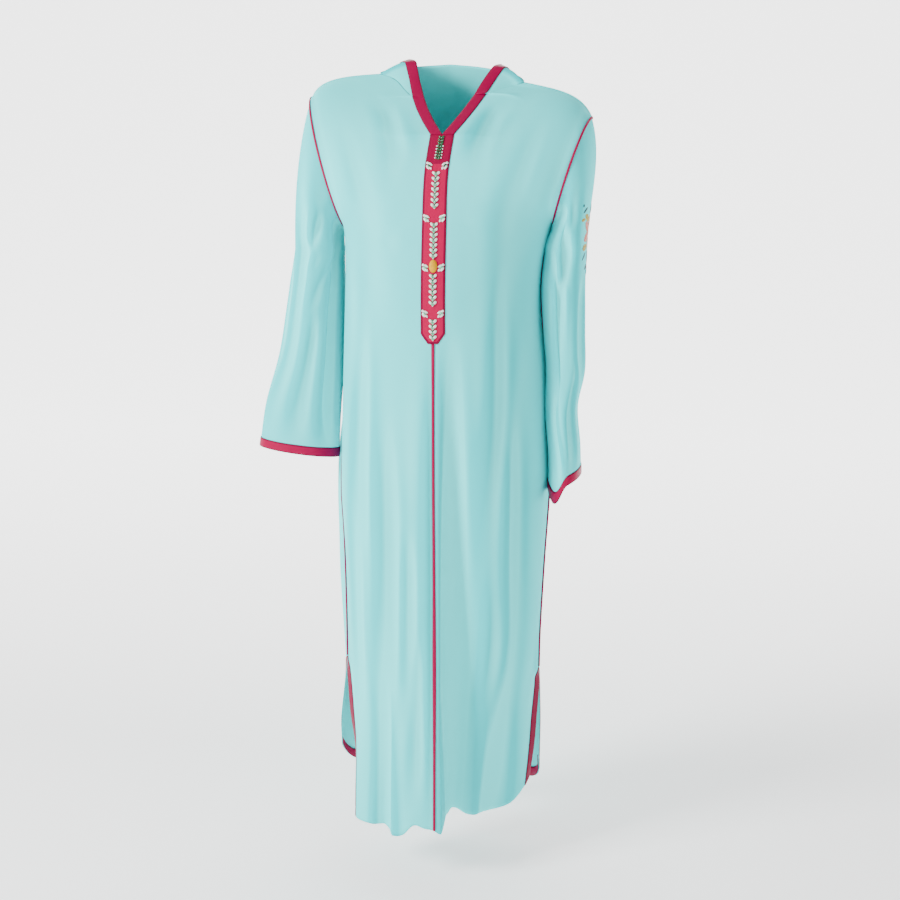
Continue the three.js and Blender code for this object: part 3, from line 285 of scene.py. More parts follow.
def fold_depth(folds, x, z):
    """How far the cloth is pressed in: for each fold, its depth times an eased way in and out across,
    growing from the fold's top downward."""
    depth = np.zeros(np.broadcast(x, z).shape)
    for fold in each(folds):
        grown = np.clip((fold["top"] - z) / (fold["top"] - fold["full"]), 0, 1)
        start, fully, out, end = (
            mix(fold[place], fold[place + "_hem"], grown) for place in ("start", "in", "out", "end"))
        across = ease((x - start) / (fully - start)) * (1 - ease((x - out) / (end - out)))
        depth += fold["depth"] * grown ** FOLD_POWER * across
    return depth


def back_top(side, u):
    """The top edge of a half back: the back neckline, then the shoulder seam."""
    share = np.clip(u / BACK_NECK_SHARE, 0, 1)
    neck = vector(*(read(SIDES[side]["back_neck"], column, share) for column in "xyz"))
    along = np.clip((u - BACK_NECK_SHARE) / (1 - BACK_NECK_SHARE), 0, 1)
    return np.where((u <= BACK_NECK_SHARE)[..., None], neck, panel(side, "front", along, 0 * along))


def panel(side, face, u, down):
    """Points of a half panel before its creases: Bezier row, folds, hem corner and hem line."""
    u, down = np.broadcast_arrays(np.asarray(u, float), np.asarray(down, float))
    a, b, c, d, _, _, lift = panel_row(side, face, down)
    point, way = bezier(a, b, c, d, u)
    front = face == "front"
    inward = unit(vector(-way[..., 1], way[..., 0], 0 * u)) * -outside(side, face)
    folds = FRONT_FOLDS if front else BACK_FOLDS
    deep = np.where(down > 1, fold_depth(folds, point[..., 0], point[..., 2]), 0)
    point = point + inward * deep[..., None]
    corner = u ** (FRONT_CORNER_POWER if front else BACK_CORNER_POWER)
    point[..., 2] += np.where(down > 1, lift * corner, 0)
    if front:
        point[..., 2] += ease((down - HEM_START) / HEM_EASE) * read(HEM_RISE, "rise", point[..., 0])
    else:
        away = np.clip(1 - down / BACK_TOP_SHARE, 0, 1) ** 2
        top = panel_row(side, face, np.zeros(u.shape))[:4]
        point = point + (back_top(side, u) - bezier(*top, u)[0]) * away[..., None]
    return point


print("hem beside the right slit:", panel("right", "front", 1, 2).round(1))

# %% [markdown]
# ## Creases
#
# Worn cloth has long soft creases as well as the big folds: drag lines from the bust to the
# armpits, soft valleys down the skirt, breaks above a cuff. They could be painted as bump,
# but then the outline and the light on them stay flat. Here each crease is a short line on
# the panel with its own width and depth, and the surface is moved along it.


# %% A crease as a moved line
NARROW_START, WIDE_END = 0.7, 1.25
RIDGE, RIDGE_AWAY, RIDGE_WIDTH = 0.45, 1.7, 1.2


def crease_depth(creases, across, z, window=1.0):
    """For each crease a valley exp(-(d/w)^2) beside a lower ridge on one side, d being the distance from
    its line, eased in and out along its length."""
    total = np.zeros(np.broadcast(across, z).shape)
    for crease in each(creases):
        a, b = (np.array([crease["x" + end], crease["z" + end]]) for end in "01")
        length = np.hypot(*(b - a))
        along = (b - a) / length
        px, pz = across - a[0], z - a[1]
        t = (px * along[0] + pz * along[1]) / length
        bend = crease["bow"] * 4 * t * (1 - t)
        d = px * along[1] - pz * along[0] + bend
        width = crease["width"] * mix(NARROW_START, WIDE_END, np.clip(t, 0, 1))
        reach = ease(t / 0.3 + 0.1) * (1 - ease((t - 0.55) / 0.5))
        ridge = RIDGE * np.exp(-((d - RIDGE_AWAY * width) / (RIDGE_WIDTH * width)) ** 2)
        total += crease["depth"] * reach * (np.exp(-((d / width) ** 2)) - ridge)
    return total * window


# %% Creases of the fronts and the back
CREASE_COLUMNS = "x0 z0 x1 z1 width depth bow"
FRONT_CREASES = table(CREASE_COLUMNS, [
    (-166, -222, -62, -306, 15, 8.0, 10),
    (-168, -262, -88, -392, 13, 7.0, 12),
    (-150, -150, -84, -236, 15, 5.5, -6),
    (-158, -330, -110, -560, 14, 5.0, -9),
    (176, -214, 86, -292, 16, 8.5, -10),
    (172, -250, 98, -402, 13, 7.5, -12),
    (160, -140, 96, -226, 15, 5.0, 6),
    (162, -330, 118, -600, 14, 5.5, 10),
    (-82, -600, -92, -1250, 18, 7.5, 8),
    (-118, -440, -130, -900, 13, 5.0, -8),
    (-44, -760, -50, -1180, 12, 4.0, 5),
    (-146, -700, -149, -1120, 9, 5.0, 2),
    (30, -430, 34, -1420, 24, 13.0, -3),
    (104, -380, 96, -760, 13, 5.5, 8),
    (134, -560, 142, -1180, 11, 7.0, -6),
    (-26, -930, -32, -1290, 10, 4.0, 2),
    (100, -900, 112, -1290, 15, 7.0, 4),
    (-96, -60, -60, -168, 14, 4.0, 5),
    (100, -66, 62, -170, 13, 4.0, -5),
])
BACK_CREASES = table(CREASE_COLUMNS, [
    (-172, -210, -96, -330, 16, 8.0, 8),
    (-160, -160, -110, -260, 14, 5.5, 5),
    (176, -205, 100, -318, 16, 7.6, -8),
    (162, -150, 118, -246, 13, 5.4, -6),
    (-30, -380, -26, -900, 16, 8.5, 5),
    (-96, -420, -104, -1120, 14, 9.0, -6),
    (-140, -560, -148, -1080, 12, 7.0, 3),
    (46, -400, 40, -820, 14, 7.2, -4),
    (88, -640, 94, -1180, 13, 8.4, 5),
    (134, -520, 138, -1010, 12, 7.0, -4),
    (8, -900, 2, -1260, 12, 7.6, 3),
    (-62, -1010, -66, -1270, 11, 6.0, 2),
    (-186, -540, -190, -1085, 16, -12.0, 0),
])
print("creases in front:", len(FRONT_CREASES["depth"]), "behind:", len(BACK_CREASES["depth"]))

# %% Cloth of a panel, creases and all
NUDGE = 1e-3
SEAM_SHARE, SHOULDER_SHARE, MIDDLE_CALM = 0.06, 0.12, 14
HEM_STITCH, HEM_STITCH_UP, HEM_STITCH_WIDE = 0.5, 17, 1.6
SKIRT_LENGTH = 1050


def panel_outward(side, face, u, down):
    """The direction out of the cloth: square to a small step across and a small step down."""
    across = panel(side, face, u, down) - panel(side, face, u - 2 * NUDGE, down)
    downward = panel(side, face, u, down) - panel(side, face, u, down - 2 * NUDGE)
    return unit(np.cross(across, downward)) * outside(side, face)


def body_cloth(side, face, u, down):
    """Panel points with their creases, moved along the panel's own outward direction. The creases die
    out at the armhole, the side seam, the neck and the middle seam, so that the pieces still meet. A
    narrow groove runs along the hem, where it is stitched."""
    u, down = np.broadcast_arrays(np.asarray(u, float), np.asarray(down, float))
    point = panel(side, face, u, down)
    nu, nd = np.clip(u + NUDGE, 2 * NUDGE, 1), np.clip(down + NUDGE, 2 * NUDGE, 2)
    outward = panel_outward(side, face, nu, nd)
    edge = ease((1 - u) / SEAM_SHARE) * ease(down / SHOULDER_SHARE)
    middle = 1
    if face == "front":
        middle = ease(np.abs(point[..., 0] - read(FRONT_MIDDLE, "x", point[..., 2])) / MIDDLE_CALM)
    creases = FRONT_CREASES if face == "front" else BACK_CREASES
    depth = crease_depth(creases, point[..., 0], point[..., 2], edge * middle)
    hem = HEM_STITCH * np.exp(-(((2 - down) * SKIRT_LENGTH - HEM_STITCH_UP) / HEM_STITCH_WIDE) ** 2)
    return point - outward * (depth + hem)[..., None]


# %% [markdown]
# ## Sleeves and hood
#
# A sleeve starts on the armhole loop and turns into rings that widen towards the cuff. The
# right one flares, the left one hangs narrower with a lobe at the front of its cuff. The
# hood is sewn round the neck. In front it rolls in to its banded rim, behind it hangs
# down the back as a pointed pocket.

# %% Sizes of sleeves and hood
# A ring of a sleeve: its middle, half its width and half its depth, how much lower its inner
# side hangs, and how far a lobe at the front hangs down.
RING_COLUMNS = "z out back half depth dip lobe"
SLEEVE_RINGS = {
    "right": table(RING_COLUMNS, [
        (-300, 222, -2, 42, 66, 0, 0), (-400, 232, -6, 48, 60, 4, 0), (-480, 241, -9, 54, 53, 8, 0),
        (-570, 257, -12, 66, 45, 12, 0), (-650, 265, -14, 72, 37, 18, 0)]),
    "left": table(RING_COLUMNS, [
        (-300, 210, -4, 33, 70, 0, 0), (-352, 206, -6, 36, 68, 2, 0), (-440, 209.2, -10, 33.8, 66, 6, 0),
        (-508, 213, -12, 31, 66, 8, 0), (-570, 208, -14, 25.4, 68, 12, 4), (-637, 214, -16, 25, 66, 20, 14),
        (-687, 214, -18, 27, 58, 30, 23)])}
LOBE_ANGLE, LOBE_HALF, FOLD_FADE, SLEEVE_RADIUS = 128, 50, 90, 52.0
SLEEVE_FOLDS = {
    "right": table("angle half depth top bottom", [(62, 34, 7, -110, -420), (148, 26, 6, -330, -640)]),
    "left": table("angle half depth top bottom", [(84, 36, 10, -120, -600), (205, 34, 8, -200, -560)])}
SLEEVE_CREASES = {
    "right": table(CREASE_COLUMNS, [
        (118, -236, 66, -330, 12, 4.5, 6), (146, -310, 104, -410, 10, 4.0, -4),
        (152, -170, 142, -700, 15, 9.0, 5), (112, -400, 100, -660, 12, 5.5, -3),
        (72, -220, 66, -620, 14, 5.0, -4), (30, -300, 26, -560, 12, 4.0, 4), (170, -250, 150, -340, 9, 5.0, 5),
        (188, -290, 188, -700, 30, -4.5, 0), (250, -250, 284, -420, 12, 6.8, 5),
        (225, -380, 236, -600, 11, 6.8, -4),
        (296, -420, 300, -630, 11, 5.4, 3), (330, -160, 318, -330, 12, 5.1, -4)]),
    "left": table(CREASE_COLUMNS, [
        (118, -228, 66, -330, 12, 5.0, 6), (138, -300, 96, -400, 9, 4.5, -4),
        (88, -330, 112, -600, 12, 6.5, 5), (60, -480, 68, -690, 9, 5.0, -4),
        (132, -540, 112, -700, 8, 5.0, 3), (30, -340, 38, -560, 10, 4.0, 3),
        (166, -205, 166, -350, 24, -7.0, 0), (166, -300, 172, -560, 28, -4.0, 0),
        (168, -470, 174, -780, 28, -6.5, 0), (240, -250, 282, -400, 11, 6.8, 5),
        (222, -420, 238, -600, 10, 6.8, -4),
        (292, -480, 300, -660, 10, 5.8, 3), (326, -170, 316, -360, 11, 5.1, -3)])}
# Going round the hood: where it is sewn to the neck and where its rim lies, how far it rolls out
# between them, where that is on the back's neckline and how far down the pocket hangs over the
# back, how full the pocket is and how much wider than the neck.
HOOD = table("round seam_x seam_y seam_z rim_x rim_y rim_z roll neck hang fill wide", [
    (0, -53, -37, -48, -32, -37, -50, 0, 1, 0, 0, 1), (0.06, -66, -24, -36, -38, -22, -33, 2, 1, 0, 0, 1),
    (0.12, -80, -10, -21, -43.5, -10, -17, 4, 1, 0, 0, 1), (0.18, -95, -1, -12, -48, 1, 0, 5, 1, 0, 0, 1),
    (0.24, -112, 4, -7, -53, 12, 14, 6, 1, 0, 0, 1), (0.3, -104, 24, -1, -69, 38, 21, 7, 0.82, 0.1, 8, 1.05),
    (0.36, -82, 44, 5, -74, 70, 21, 8, 0.6, 0.46, 20, 1.3),
    (0.43, -46, 58, 10, -48, 104, 0, 8, 0.3, 0.9, 30, 1.6), (0.5, 0, 63, 13, 2, 118, -14, 8, 0, 1.12, 36, 1),
    (0.57, 50, 58, 7, 54, 106, -6, 8, 0.3, 0.9, 30, 1.6), (0.64, 92, 46, -3, 86, 72, 13, 8, 0.6, 0.46, 20, 1.3),
    (0.7, 120, 26, -14, 88, 42, 11, 7, 0.82, 0.1, 8, 1.05),
    (0.76, 131, 3, -24, 80, 17, 5, 7, 1, 0, 0, 1), (0.82, 114, -1, -29, 72, 4, -7, 6, 1, 0, 0, 1),
    (0.88, 98, -9, -34, 65, -6, -19, 4, 1, 0, 0, 1), (0.94, 84, -19, -40, 58, -16, -32, 2, 1, 0, 0, 1),
    (1, 73, -28, -43.5, 52, -26, -45, 0, 1, 0, 0, 1)])
SEAM_CLEAR, SEAM_LIFT, POCKET_CLEAR, POCKET_TURN = 1.4, 2.0, 5.0, 0.42


print("sleeve rings:", {side: len(rings["z"]) for side, rings in SLEEVE_RINGS.items()})
print("places round the hood:", len(HOOD["roll"]))


# %% Sleeve points
def sleeve_ring(side, turn, z):
    """A ring at a height: an oval, pressed in along the sleeve's folds, lower on its inner side."""
    rings, folds, sign = SLEEVE_RINGS[side], SLEEVE_FOLDS[side], SIDES[side]["sign"]
    angle = np.pi * turn
    size = np.ones(np.broadcast(turn, z).shape)
    for fold in each(folds):
        off = np.abs(angle - np.radians(fold["angle"])) / np.radians(fold["half"])
        reach = ease((fold["top"] - z) / FOLD_FADE) * ease((z - fold["bottom"]) / FOLD_FADE)
        size = size - fold["depth"] / read(rings, "depth", z) * (1 - ease(off)) * reach
    lobe = 1 - ease(np.abs(angle - math.radians(LOBE_ANGLE)) / math.radians(LOBE_HALF))
    low = read(rings, "dip", z) * (1 - np.cos(angle)) / 2 + read(rings, "lobe", z) * lobe
    return vector(
        sign * (read(rings, "out", z) + read(rings, "half", z) * size * np.cos(angle)),
        read(rings, "back", z) - read(rings, "depth", z) * size * np.sin(angle),
        z - low)


def sleeve_form(side, turn, along):
    """From the armhole at 0 a cubic runs to the first ring at 1, then rings go on to the cuff at 2."""
    rings, sign = SLEEVE_RINGS[side], SIDES[side]["sign"]
    turn, along = np.broadcast_arrays(np.mod(turn, 2), np.asarray(along, float))
    top, bottom = rings["z"][0], rings["z"][-1]
    front = (turn <= 1)[..., None]
    behind = armhole(side, "back", np.clip(2 - turn, 0, 1))
    loop = np.where(front, armhole(side, "front", np.minimum(turn, 1)), behind)
    first = sleeve_ring(side, turn, np.full(turn.shape, top))
    inner = ((1 - np.cos(np.pi * turn)) / 2) ** 2
    length = np.linalg.norm(first - loop, axis=-1, keepdims=True)
    leave = vector(sign * mix(0.3, 0.92, inner), 0 * inner, -mix(0.95, 0.4, inner))
    t = np.clip(along, 0, 1)[..., None]
    upper = mix(loop, first, t * t * (3 - 2 * t)) + leave * t * (1 - t) ** 2 * length
    upper[..., 2] += (t * t * (1 - t) * length)[..., 0]
    lower = sleeve_ring(side, turn, mix(top, bottom, np.clip(along - 1, 0, 1)))
    return np.where((along < 1)[..., None], upper, lower)


def sleeve_outward(side, turn, along):
    """The direction out of a sleeve: square to a small step round and a small step down."""
    na = np.clip(along + NUDGE, 2 * NUDGE, 2)
    across = sleeve_form(side, turn + NUDGE, along) - sleeve_form(side, turn - NUDGE, along)
    downward = sleeve_form(side, turn, na) - sleeve_form(side, turn, na - 2 * NUDGE)
    return unit(np.cross(across, downward)) * SIDES[side]["sign"]


def sleeve_cloth(side, turn, along):
    """Sleeve points with their creases, whose lines are given by angle round the sleeve and height."""
    turn, along = np.broadcast_arrays(np.asarray(turn, float), np.asarray(along, float))
    point = sleeve_form(side, turn, along)
    outward = sleeve_outward(side, turn, along)
    creases = dict(SLEEVE_CREASES[side])
    for column in ("x0", "x1"):
        creases[column] = np.radians(creases[column]) * SLEEVE_RADIUS
    round_place = np.pi * np.mod(turn, 2) * SLEEVE_RADIUS
    depth = crease_depth(creases, round_place, point[..., 2], ease(along / 0.15))
    return point - outward * depth[..., None]


print("right cuff, outermost:", sleeve_cloth("right", 0, 2).round(1))


# %% Hood points
def hood_form(around, up):
    """From the seam at up = 0 to the rim at 1. Behind the neck the cloth first follows the back panel
    down, just clear of it, then a cubic turns it up to the rim. Elsewhere a cubic rolls it in."""
    around, up = np.broadcast_arrays(np.asarray(around, float), np.asarray(up, float))
    at = {name: read(HOOD, name, around) for name in HOOD}
    hang = np.maximum(at["hang"], 0)
    pocket = ease(hang / 0.4)
    lift = SEAM_LIFT * ease((around - 0.18) / 0.08) * ease((0.82 - around) / 0.08)
    seam = vector(at["seam_x"], at["seam_y"], at["seam_z"] + lift)

    def inner(share):
        u = np.maximum(BACK_NECK_SHARE * at["neck"] * mix(1, at["wide"], share), NUDGE)
        down = np.maximum(hang * share, NUDGE)
        clear = SEAM_CLEAR + (POCKET_CLEAR * ease(share * 3) + 6 * share) * np.minimum(3 * pocket, 1)
        halves = []
        for side in ("right", "left"):
            def on(du, dv):
                return panel(side, "back", u + du, down + dv)
            away = unit(np.cross(on(NUDGE, 0) - on(-NUDGE, 0), on(0, NUDGE) - on(0, -NUDGE)))
            halves.append(on(0, 0) + away * (clear * SIDES[side]["sign"])[..., None])
        found = np.where((around < 0.5)[..., None], *halves)
        found[..., 2] += lift * (1 - share)
        return np.where((pocket == 0)[..., None], seam, found)

    turn = POCKET_TURN * pocket
    first = inner(np.clip(up / np.maximum(turn, 1e-9), 0, 1))
    start, end = inner(np.ones(up.shape)), vector(at["rim_x"], at["rim_y"], at["rim_z"])
    rise = np.linalg.norm(end - start, axis=-1)
    third = (end - start) / 3
    bulge = vector(np.sign(at["seam_x"]) * 0.4, 0 * rise, 0 * rise + 0.8) * (1.3 * at["roll"])[..., None]
    weight = pocket[..., None]
    low = mix(third + bulge, vector(0 * rise, 1.3 * at["fill"], -0.12 * rise), weight)
    high = mix(bulge - third, vector(0 * rise, 0.9 * at["fill"], -0.4 * rise), weight)
    t = np.clip((up - turn) / (1 - turn), 0, 1)
    second = bezier(start, start + low, end + high, end, t)[0]
    return np.where((up < turn)[..., None], first, second)


HOOD_CREASES = table("around half depth start", [
    (0.41, 0.022, 4.0, 0.5), (0.465, 0.02, 5.5, 0.55), (0.53, 0.024, 4.5, 0.5), (0.6, 0.02, 4.5, 0.52),
    (0.345, 0.018, 3.0, 0.45), (0.665, 0.018, 3.2, 0.42)])


def hood_cloth(around, up):
    """Hood points with soft lengthways creases in the outer layer of the pocket."""
    around, up = np.broadcast_arrays(np.asarray(around, float), np.asarray(up, float))
    point = hood_form(around, up)
    na, nu = np.clip(around + NUDGE, 2 * NUDGE, 1), np.clip(up + NUDGE, 2 * NUDGE, 1)
    across = hood_form(na, up) - hood_form(na - 2 * NUDGE, up)
    upward = hood_form(around, nu) - hood_form(around, nu - 2 * NUDGE)
    outward = -unit(np.cross(across, upward))
    depth = np.zeros(up.shape)
    for crease in each(HOOD_CREASES):
        shape = np.exp(-((around - crease["around"]) / crease["half"]) ** 2)
        reach = ease((up - crease["start"]) / 0.12) * (1 - ease((up - 0.8) / 0.16))
        depth += crease["depth"] * shape * reach
    return point - outward * depth[..., None]


# %% [markdown]
# ## From grids to meshes
#
# One function makes every mesh. Cloth, bands, piping and petals have a UV map in metres
# along them, so that the weave follows each piece. Thin cloth gets its thickness from a
# Solidify modifier, inwards from the visible face. Bands and piping are made from the
# surface under them.


# %% Mesh helpers
def finish_mesh(name, points, faces, places=None):
    """A smooth mesh object from points in millimetres and faces as lists of indices, with one place on
    the map per point."""
    mesh = bpy.data.meshes.new(name)
    mesh.from_pydata((np.asarray(points, float) * MM).tolist(), [], [list(face) for face in faces])
    if places is not None:
        corner = np.zeros(len(mesh.loops), np.int32)
        mesh.loops.foreach_get("vertex_index", corner)
        mesh.uv_layers.new(name="cloth").data.foreach_set("uv", np.asarray(places, float)[corner].ravel())
    mesh.polygons.foreach_set("use_smooth", np.full(len(mesh.polygons), True))
    piece = bpy.data.objects.new(name, mesh)
    bpy.context.scene.collection.objects.link(piece)
    return piece


def dress(piece, finish, slot=None, *nodes):
    """Gives a piece its material, hides the solids it stands for and attaches it to the root body. The slot is
    not used.
    """
    piece.data.materials.append(finish)
    if nodes:
        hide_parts(*nodes)
    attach(piece, "root")
    return piece


def grid_faces(rows, columns, closed=False):
    """Quads between neighbouring points of a grid."""
    i = np.arange(rows * columns).reshape(rows, columns)
    if closed:
        i = np.concatenate([i, i[:, :1]], 1)
    return np.stack([i[:-1, :-1], i[1:, :-1], i[1:, 1:], i[:-1, 1:]], -1).reshape(-1, 4)


def lengths(grid, axis):
    """Distance along the grid from its first row or column, in metres."""
    steps = np.linalg.norm(np.diff(grid, axis=axis), axis=-1)
    start = np.zeros_like(np.take(steps, [0], axis=axis))
    return np.concatenate([start, np.cumsum(steps, axis=axis)], axis=axis) * MM


def outward_of(grid, towards):
    """Directions square to the surface: the cross product of its two steps, all on the side of towards."""
    across, down = np.gradient(grid, axis=1), np.gradient(grid, axis=0)
    return unit(np.cross(across, down)) * towards


def area_of(grid):
    """Surface of a grid in square metres, from the diagonals of its quads."""
    a, b = grid[1:, 1:] - grid[:-1, :-1], grid[1:, :-1] - grid[:-1, 1:]
    return float(np.linalg.norm(np.cross(a, b), axis=-1).sum() / 2) * MM * MM


# %% A sheet of cloth
CLOTH_THICK, VALLEY_REACH, VALLEY_FULL = 1.1, 9, 5.0
AREAS = {}


def valleys(grid, facing):
    """How deep each place lies below the mean of its neighbours across: 0.5 is level with them. It sets
    how much shade is painted into the cloth there.
    """
    wide = np.pad(grid, ((0, 0), (VALLEY_REACH, VALLEY_REACH), (0, 0)), mode="reflect", reflect_type="odd")
    mean = np.mean([wide[:, k:k + grid.shape[1]] for k in range(2 * VALLEY_REACH + 1)], axis=0)
    below = ((mean - grid) * outward_of(grid, -facing)).sum(-1)
    return np.clip(below / VALLEY_FULL + 0.5, 0, 1)


def cloth_piece(name, grid, facing):
    """A thin sheet over a grid, its faces turned to the outside and its wall going inwards."""
    faces = grid_faces(*grid.shape[:2])
    if facing > 0:
        faces = faces[:, ::-1]
    places = np.stack([lengths(grid, 1), lengths(grid, 0)], -1).reshape(-1, 2)
    piece = finish_mesh(f"cloth_{name}", grid.reshape(-1, 3), faces, places)
    # How deep the cloth lies in a fold, kept for the shade painted into the valleys.
    layer = piece.data.attributes.new("valley", "FLOAT", "POINT")
    layer.data.foreach_set("value", valleys(grid, facing).ravel())
    wall = piece.modifiers.new("wall", "SOLIDIFY")
    wall.thickness, wall.offset, wall.use_even_offset = CLOTH_THICK * MM, -1, False
    AREAS[name] = area_of(grid)
    return dress(piece, CREPE, "cloth", name)


# %% [markdown]
# ## Finishes
#
# The cloth is a matt crepe: two near shades of pale aqua, a fine pebbled weave and a soft
# sheen, with painted shade deeper in the valleys of its folds. The bands are satin, brighter down
# the middle and darker along the stitched edges; one satin is painted in lighter and darker
# copies as light and shade fall on the bands.
# Node trees get long and hard to read, so one small class lets a material be written as an
# expression.


# %% Material expressions
class Value:
    """A socket or number in a node tree. Arithmetic on it adds Math nodes."""

    def __init__(self, tree, socket):
        self.tree, self.socket = tree, socket

    def node(self, kind, settings=None, output=0, **inputs):
        """Adds any node: its settings first, then values or links for its sockets, by name or number."""
        made = self.tree.nodes.new(kind)
        for key, value in (settings or {}).items():
            setattr(made, key, value)
        for key, value in inputs.items():
            socket = made.inputs[int(key[1:]) if key[0] == "_" else key.replace("_", " ")]
            if isinstance(value, Value):
                self.tree.links.new(value.socket, socket)
            else:
                socket.default_value = value
        return Value(self.tree, made.outputs[output])

    def math(self, operation, *others):
        given = {f"_{i}": value for i, value in enumerate((self, *others))}
        return self.node("ShaderNodeMath", {"operation": operation}, **given)

    def __add__(self, other):
        return self.math("ADD", other)

    def __sub__(self, other):
        return self.math("SUBTRACT", other)

    def __rsub__(self, other):
        return (self * -1.0) + other

    def __mul__(self, other):
        return self.math("MULTIPLY", other)

    def __truediv__(self, other):
        return self.math("DIVIDE", other)

    __radd__, __rmul__ = __add__, __mul__

    def clamp(self, low=0.0, high=1.0):
        return self.math("MAXIMUM", low).math("MINIMUM", high)


# %% Helpers for the finishes
def linear(code):
    """A colour from its web code, as linear light with alpha."""
    parts = [int(code[i:i + 2], 16) / 255 for i in (0, 2, 4)]
    return tuple(p / 12.92 if p <= 0.04045 else ((p + 0.055) / 1.055) ** 2.4 for p in parts) + (1.0,)


def new_material(name, roughness, sheen=0.0, coat=0.0):
    """A material with its shader, and a Value to start expressions from."""
    material = bpy.data.materials.new(name)
    material.use_nodes = True
    shader = material.node_tree.nodes["Principled BSDF"]
    shader.inputs["Roughness"].default_value = roughness
    shader.inputs["Sheen Weight"].default_value = sheen
    shader.inputs["Sheen Roughness"].default_value = 0.4
    shader.inputs["Specular IOR Level"].default_value = 0.4 if coat else 0.08
    shader.inputs["Coat Weight"].default_value = coat
    return material, shader, Value(material.node_tree, None)


def plug(shader, name, value):
    """Links a value to a socket of the shader."""
    value.tree.links.new(value.socket, shader.inputs[name])


def color_mix(start, factor, first, second):
    """Colours mixed by a factor."""
    return start.node("ShaderNodeMix", {"data_type": "RGBA"}, output=2, _0=factor, _6=first, _7=second)


def bump(start, height, strength, distance):
    """A bump from a height."""
    return start.node("ShaderNodeBump", Strength=strength, Distance=distance, Height=height)


def uv_of(start):
    """The piece's own map: metres across and metres along."""
    both = start.node("ShaderNodeUVMap", {"uv_map": "cloth"})
    return (both, *(both.node("ShaderNodeSeparateXYZ", output=k, Vector=both) for k in (0, 1)))


# %% Crepe cloth
CLOTH_LIGHT, CLOTH_DEEP = (0.12, 0.92, 0.92, 1.0), (0.07, 0.86, 0.875, 1.0)
# The deeper teal painted into the valleys of the folds as shade, and how strongly it is mixed in.
VALLEY_SHADE_COLOR, VALLEY_SHADE_GAIN, VALLEY_SHADE_MOST = (0.0, 0.60, 0.64, 1.0), 1.9, 0.85
PEBBLES, THREADS_ACROSS, THREADS_ALONG = 900.0, 5200.0, 4700.0


def cloth_material():
    """Pale aqua crepe: two near shades in wide soft patches, with painted shade deeper in the valleys of
    the folds, and a fine pebbled weave as bump."""
    material, shader, start = new_material("aqua_crepe", 0.72, sheen=0.06)
    shader.inputs["Sheen Tint"].default_value = linear("D8FFFF")
    uv, across, along = uv_of(start)
    patches = start.node("ShaderNodeTexNoise", Vector=uv, Scale=4.0, Detail=2.0)
    valley = start.node("ShaderNodeAttribute", {"attribute_name": "valley"}, output=2)
    base = color_mix(start, patches, CLOTH_DEEP, CLOTH_LIGHT)
    # Painted shade: the cloth turns a deeper teal in the valleys of the folds.
    deep = ((valley - 0.5) * VALLEY_SHADE_GAIN).clamp(0, VALLEY_SHADE_MOST)
    plug(shader, "Base Color", color_mix(start, deep, base, VALLEY_SHADE_COLOR))
    pebbles = start.node("ShaderNodeTexNoise", Vector=uv, Scale=PEBBLES, Detail=3.0, Roughness=0.6)
    threads = (across * THREADS_ACROSS).math("SINE") * (along * THREADS_ALONG).math("SINE")
    plug(shader, "Normal", bump(start, pebbles + threads * 0.25, 0.18, 0.0004))
    plug(shader, "Roughness", (patches * 0.1 + 0.66).clamp())
    return material


CREPE = cloth_material()
print("cloth:", CREPE.name)

# %% Satin bands
BAND_EDGE = (0.16, 0.0, 0.028, 1.0)
STITCH_IN, STITCH_HALF, STITCH_LENGTH, BAND_WEAVE = 1.3, 0.35, 2.8, 9000.0
PIPING_DEEP, PIPING_BRIGHT, PIPING_TWIST = (0.26, 0.0, 0.045, 1.0), (0.42, 0.0, 0.07, 1.0), 4.0
THREAD_WIDE = 0.7


def satin_material(name, bright, edge, border=2.6, plain=0.0):
    """Satin ribbon: bright down the middle, darker along both edges, with a row of stitches 1.3 mm in
    from each. The map's first number is the distance to the edge in metres. Where a length is given
    for the shaded top, the ribbon is all of the edge's colour for that length from its upper end:
    painted shade."""
    material, shader, start = new_material(name, 0.55)
    deep = tuple(0.8 * part for part in bright[:3]) + (1.0,)
    uv, from_edge, along = uv_of(start)
    border_mask = ((from_edge * -1.0 + border * MM) / (0.5 * MM)).clamp()
    line = 1.0 - ((from_edge - STITCH_IN * MM).math("ABSOLUTE") / (STITCH_HALF * MM)).clamp()
    dash = ((along * (2 * math.pi / (STITCH_LENGTH * MM))).math("SINE") * 3.0 + 0.6).clamp()
    stitch = line * dash
    worn = start.node("ShaderNodeTexNoise", Vector=uv, Scale=60.0, Detail=2.0)
    base = color_mix(start, (worn * 0.5).clamp(), bright, deep)
    # Painted shade: the upper end of the ribbon darkened to the edge's colour.
    if plain:
        upper = ((along * -1.0 + plain * MM) / (0.6 * MM)).clamp()
        border_mask = border_mask.math("MAXIMUM", upper * 0.75)
    plug(shader, "Base Color", color_mix(start, border_mask * 0.9, base, edge))
    weave = (along * BAND_WEAVE).math("SINE") * 0.2
    puff = (from_edge / (2.0 * MM)).clamp().math("POWER", 0.5)
    plug(shader, "Normal", bump(start, weave * 0.2 + puff * 1.2 - stitch * 0.8, 0.5, 0.0006))
    plug(shader, "Roughness", (border_mask * 0.15 + 0.38).clamp())
    return material


# One satin in four copies, lighter and darker as painted light and shade: lightest on the placket, darkest in
# the slits.
NECK_SATIN = satin_material("satin_neck", (0.3, 0.0, 0.05, 1.0), BAND_EDGE, 1.6)
PLACKET_SATIN = satin_material("satin_placket", (0.46, 0.0, 0.06, 1.0), BAND_EDGE, 4.0, plain=50.0)
SLIT_SATIN = satin_material("satin_slit", (0.21, 0.0, 0.035, 1.0), BAND_EDGE, 2.0)
CUFF_SATIN = satin_material("satin_cuff", (0.34, 0.0, 0.05, 1.0), BAND_EDGE, 2.2)


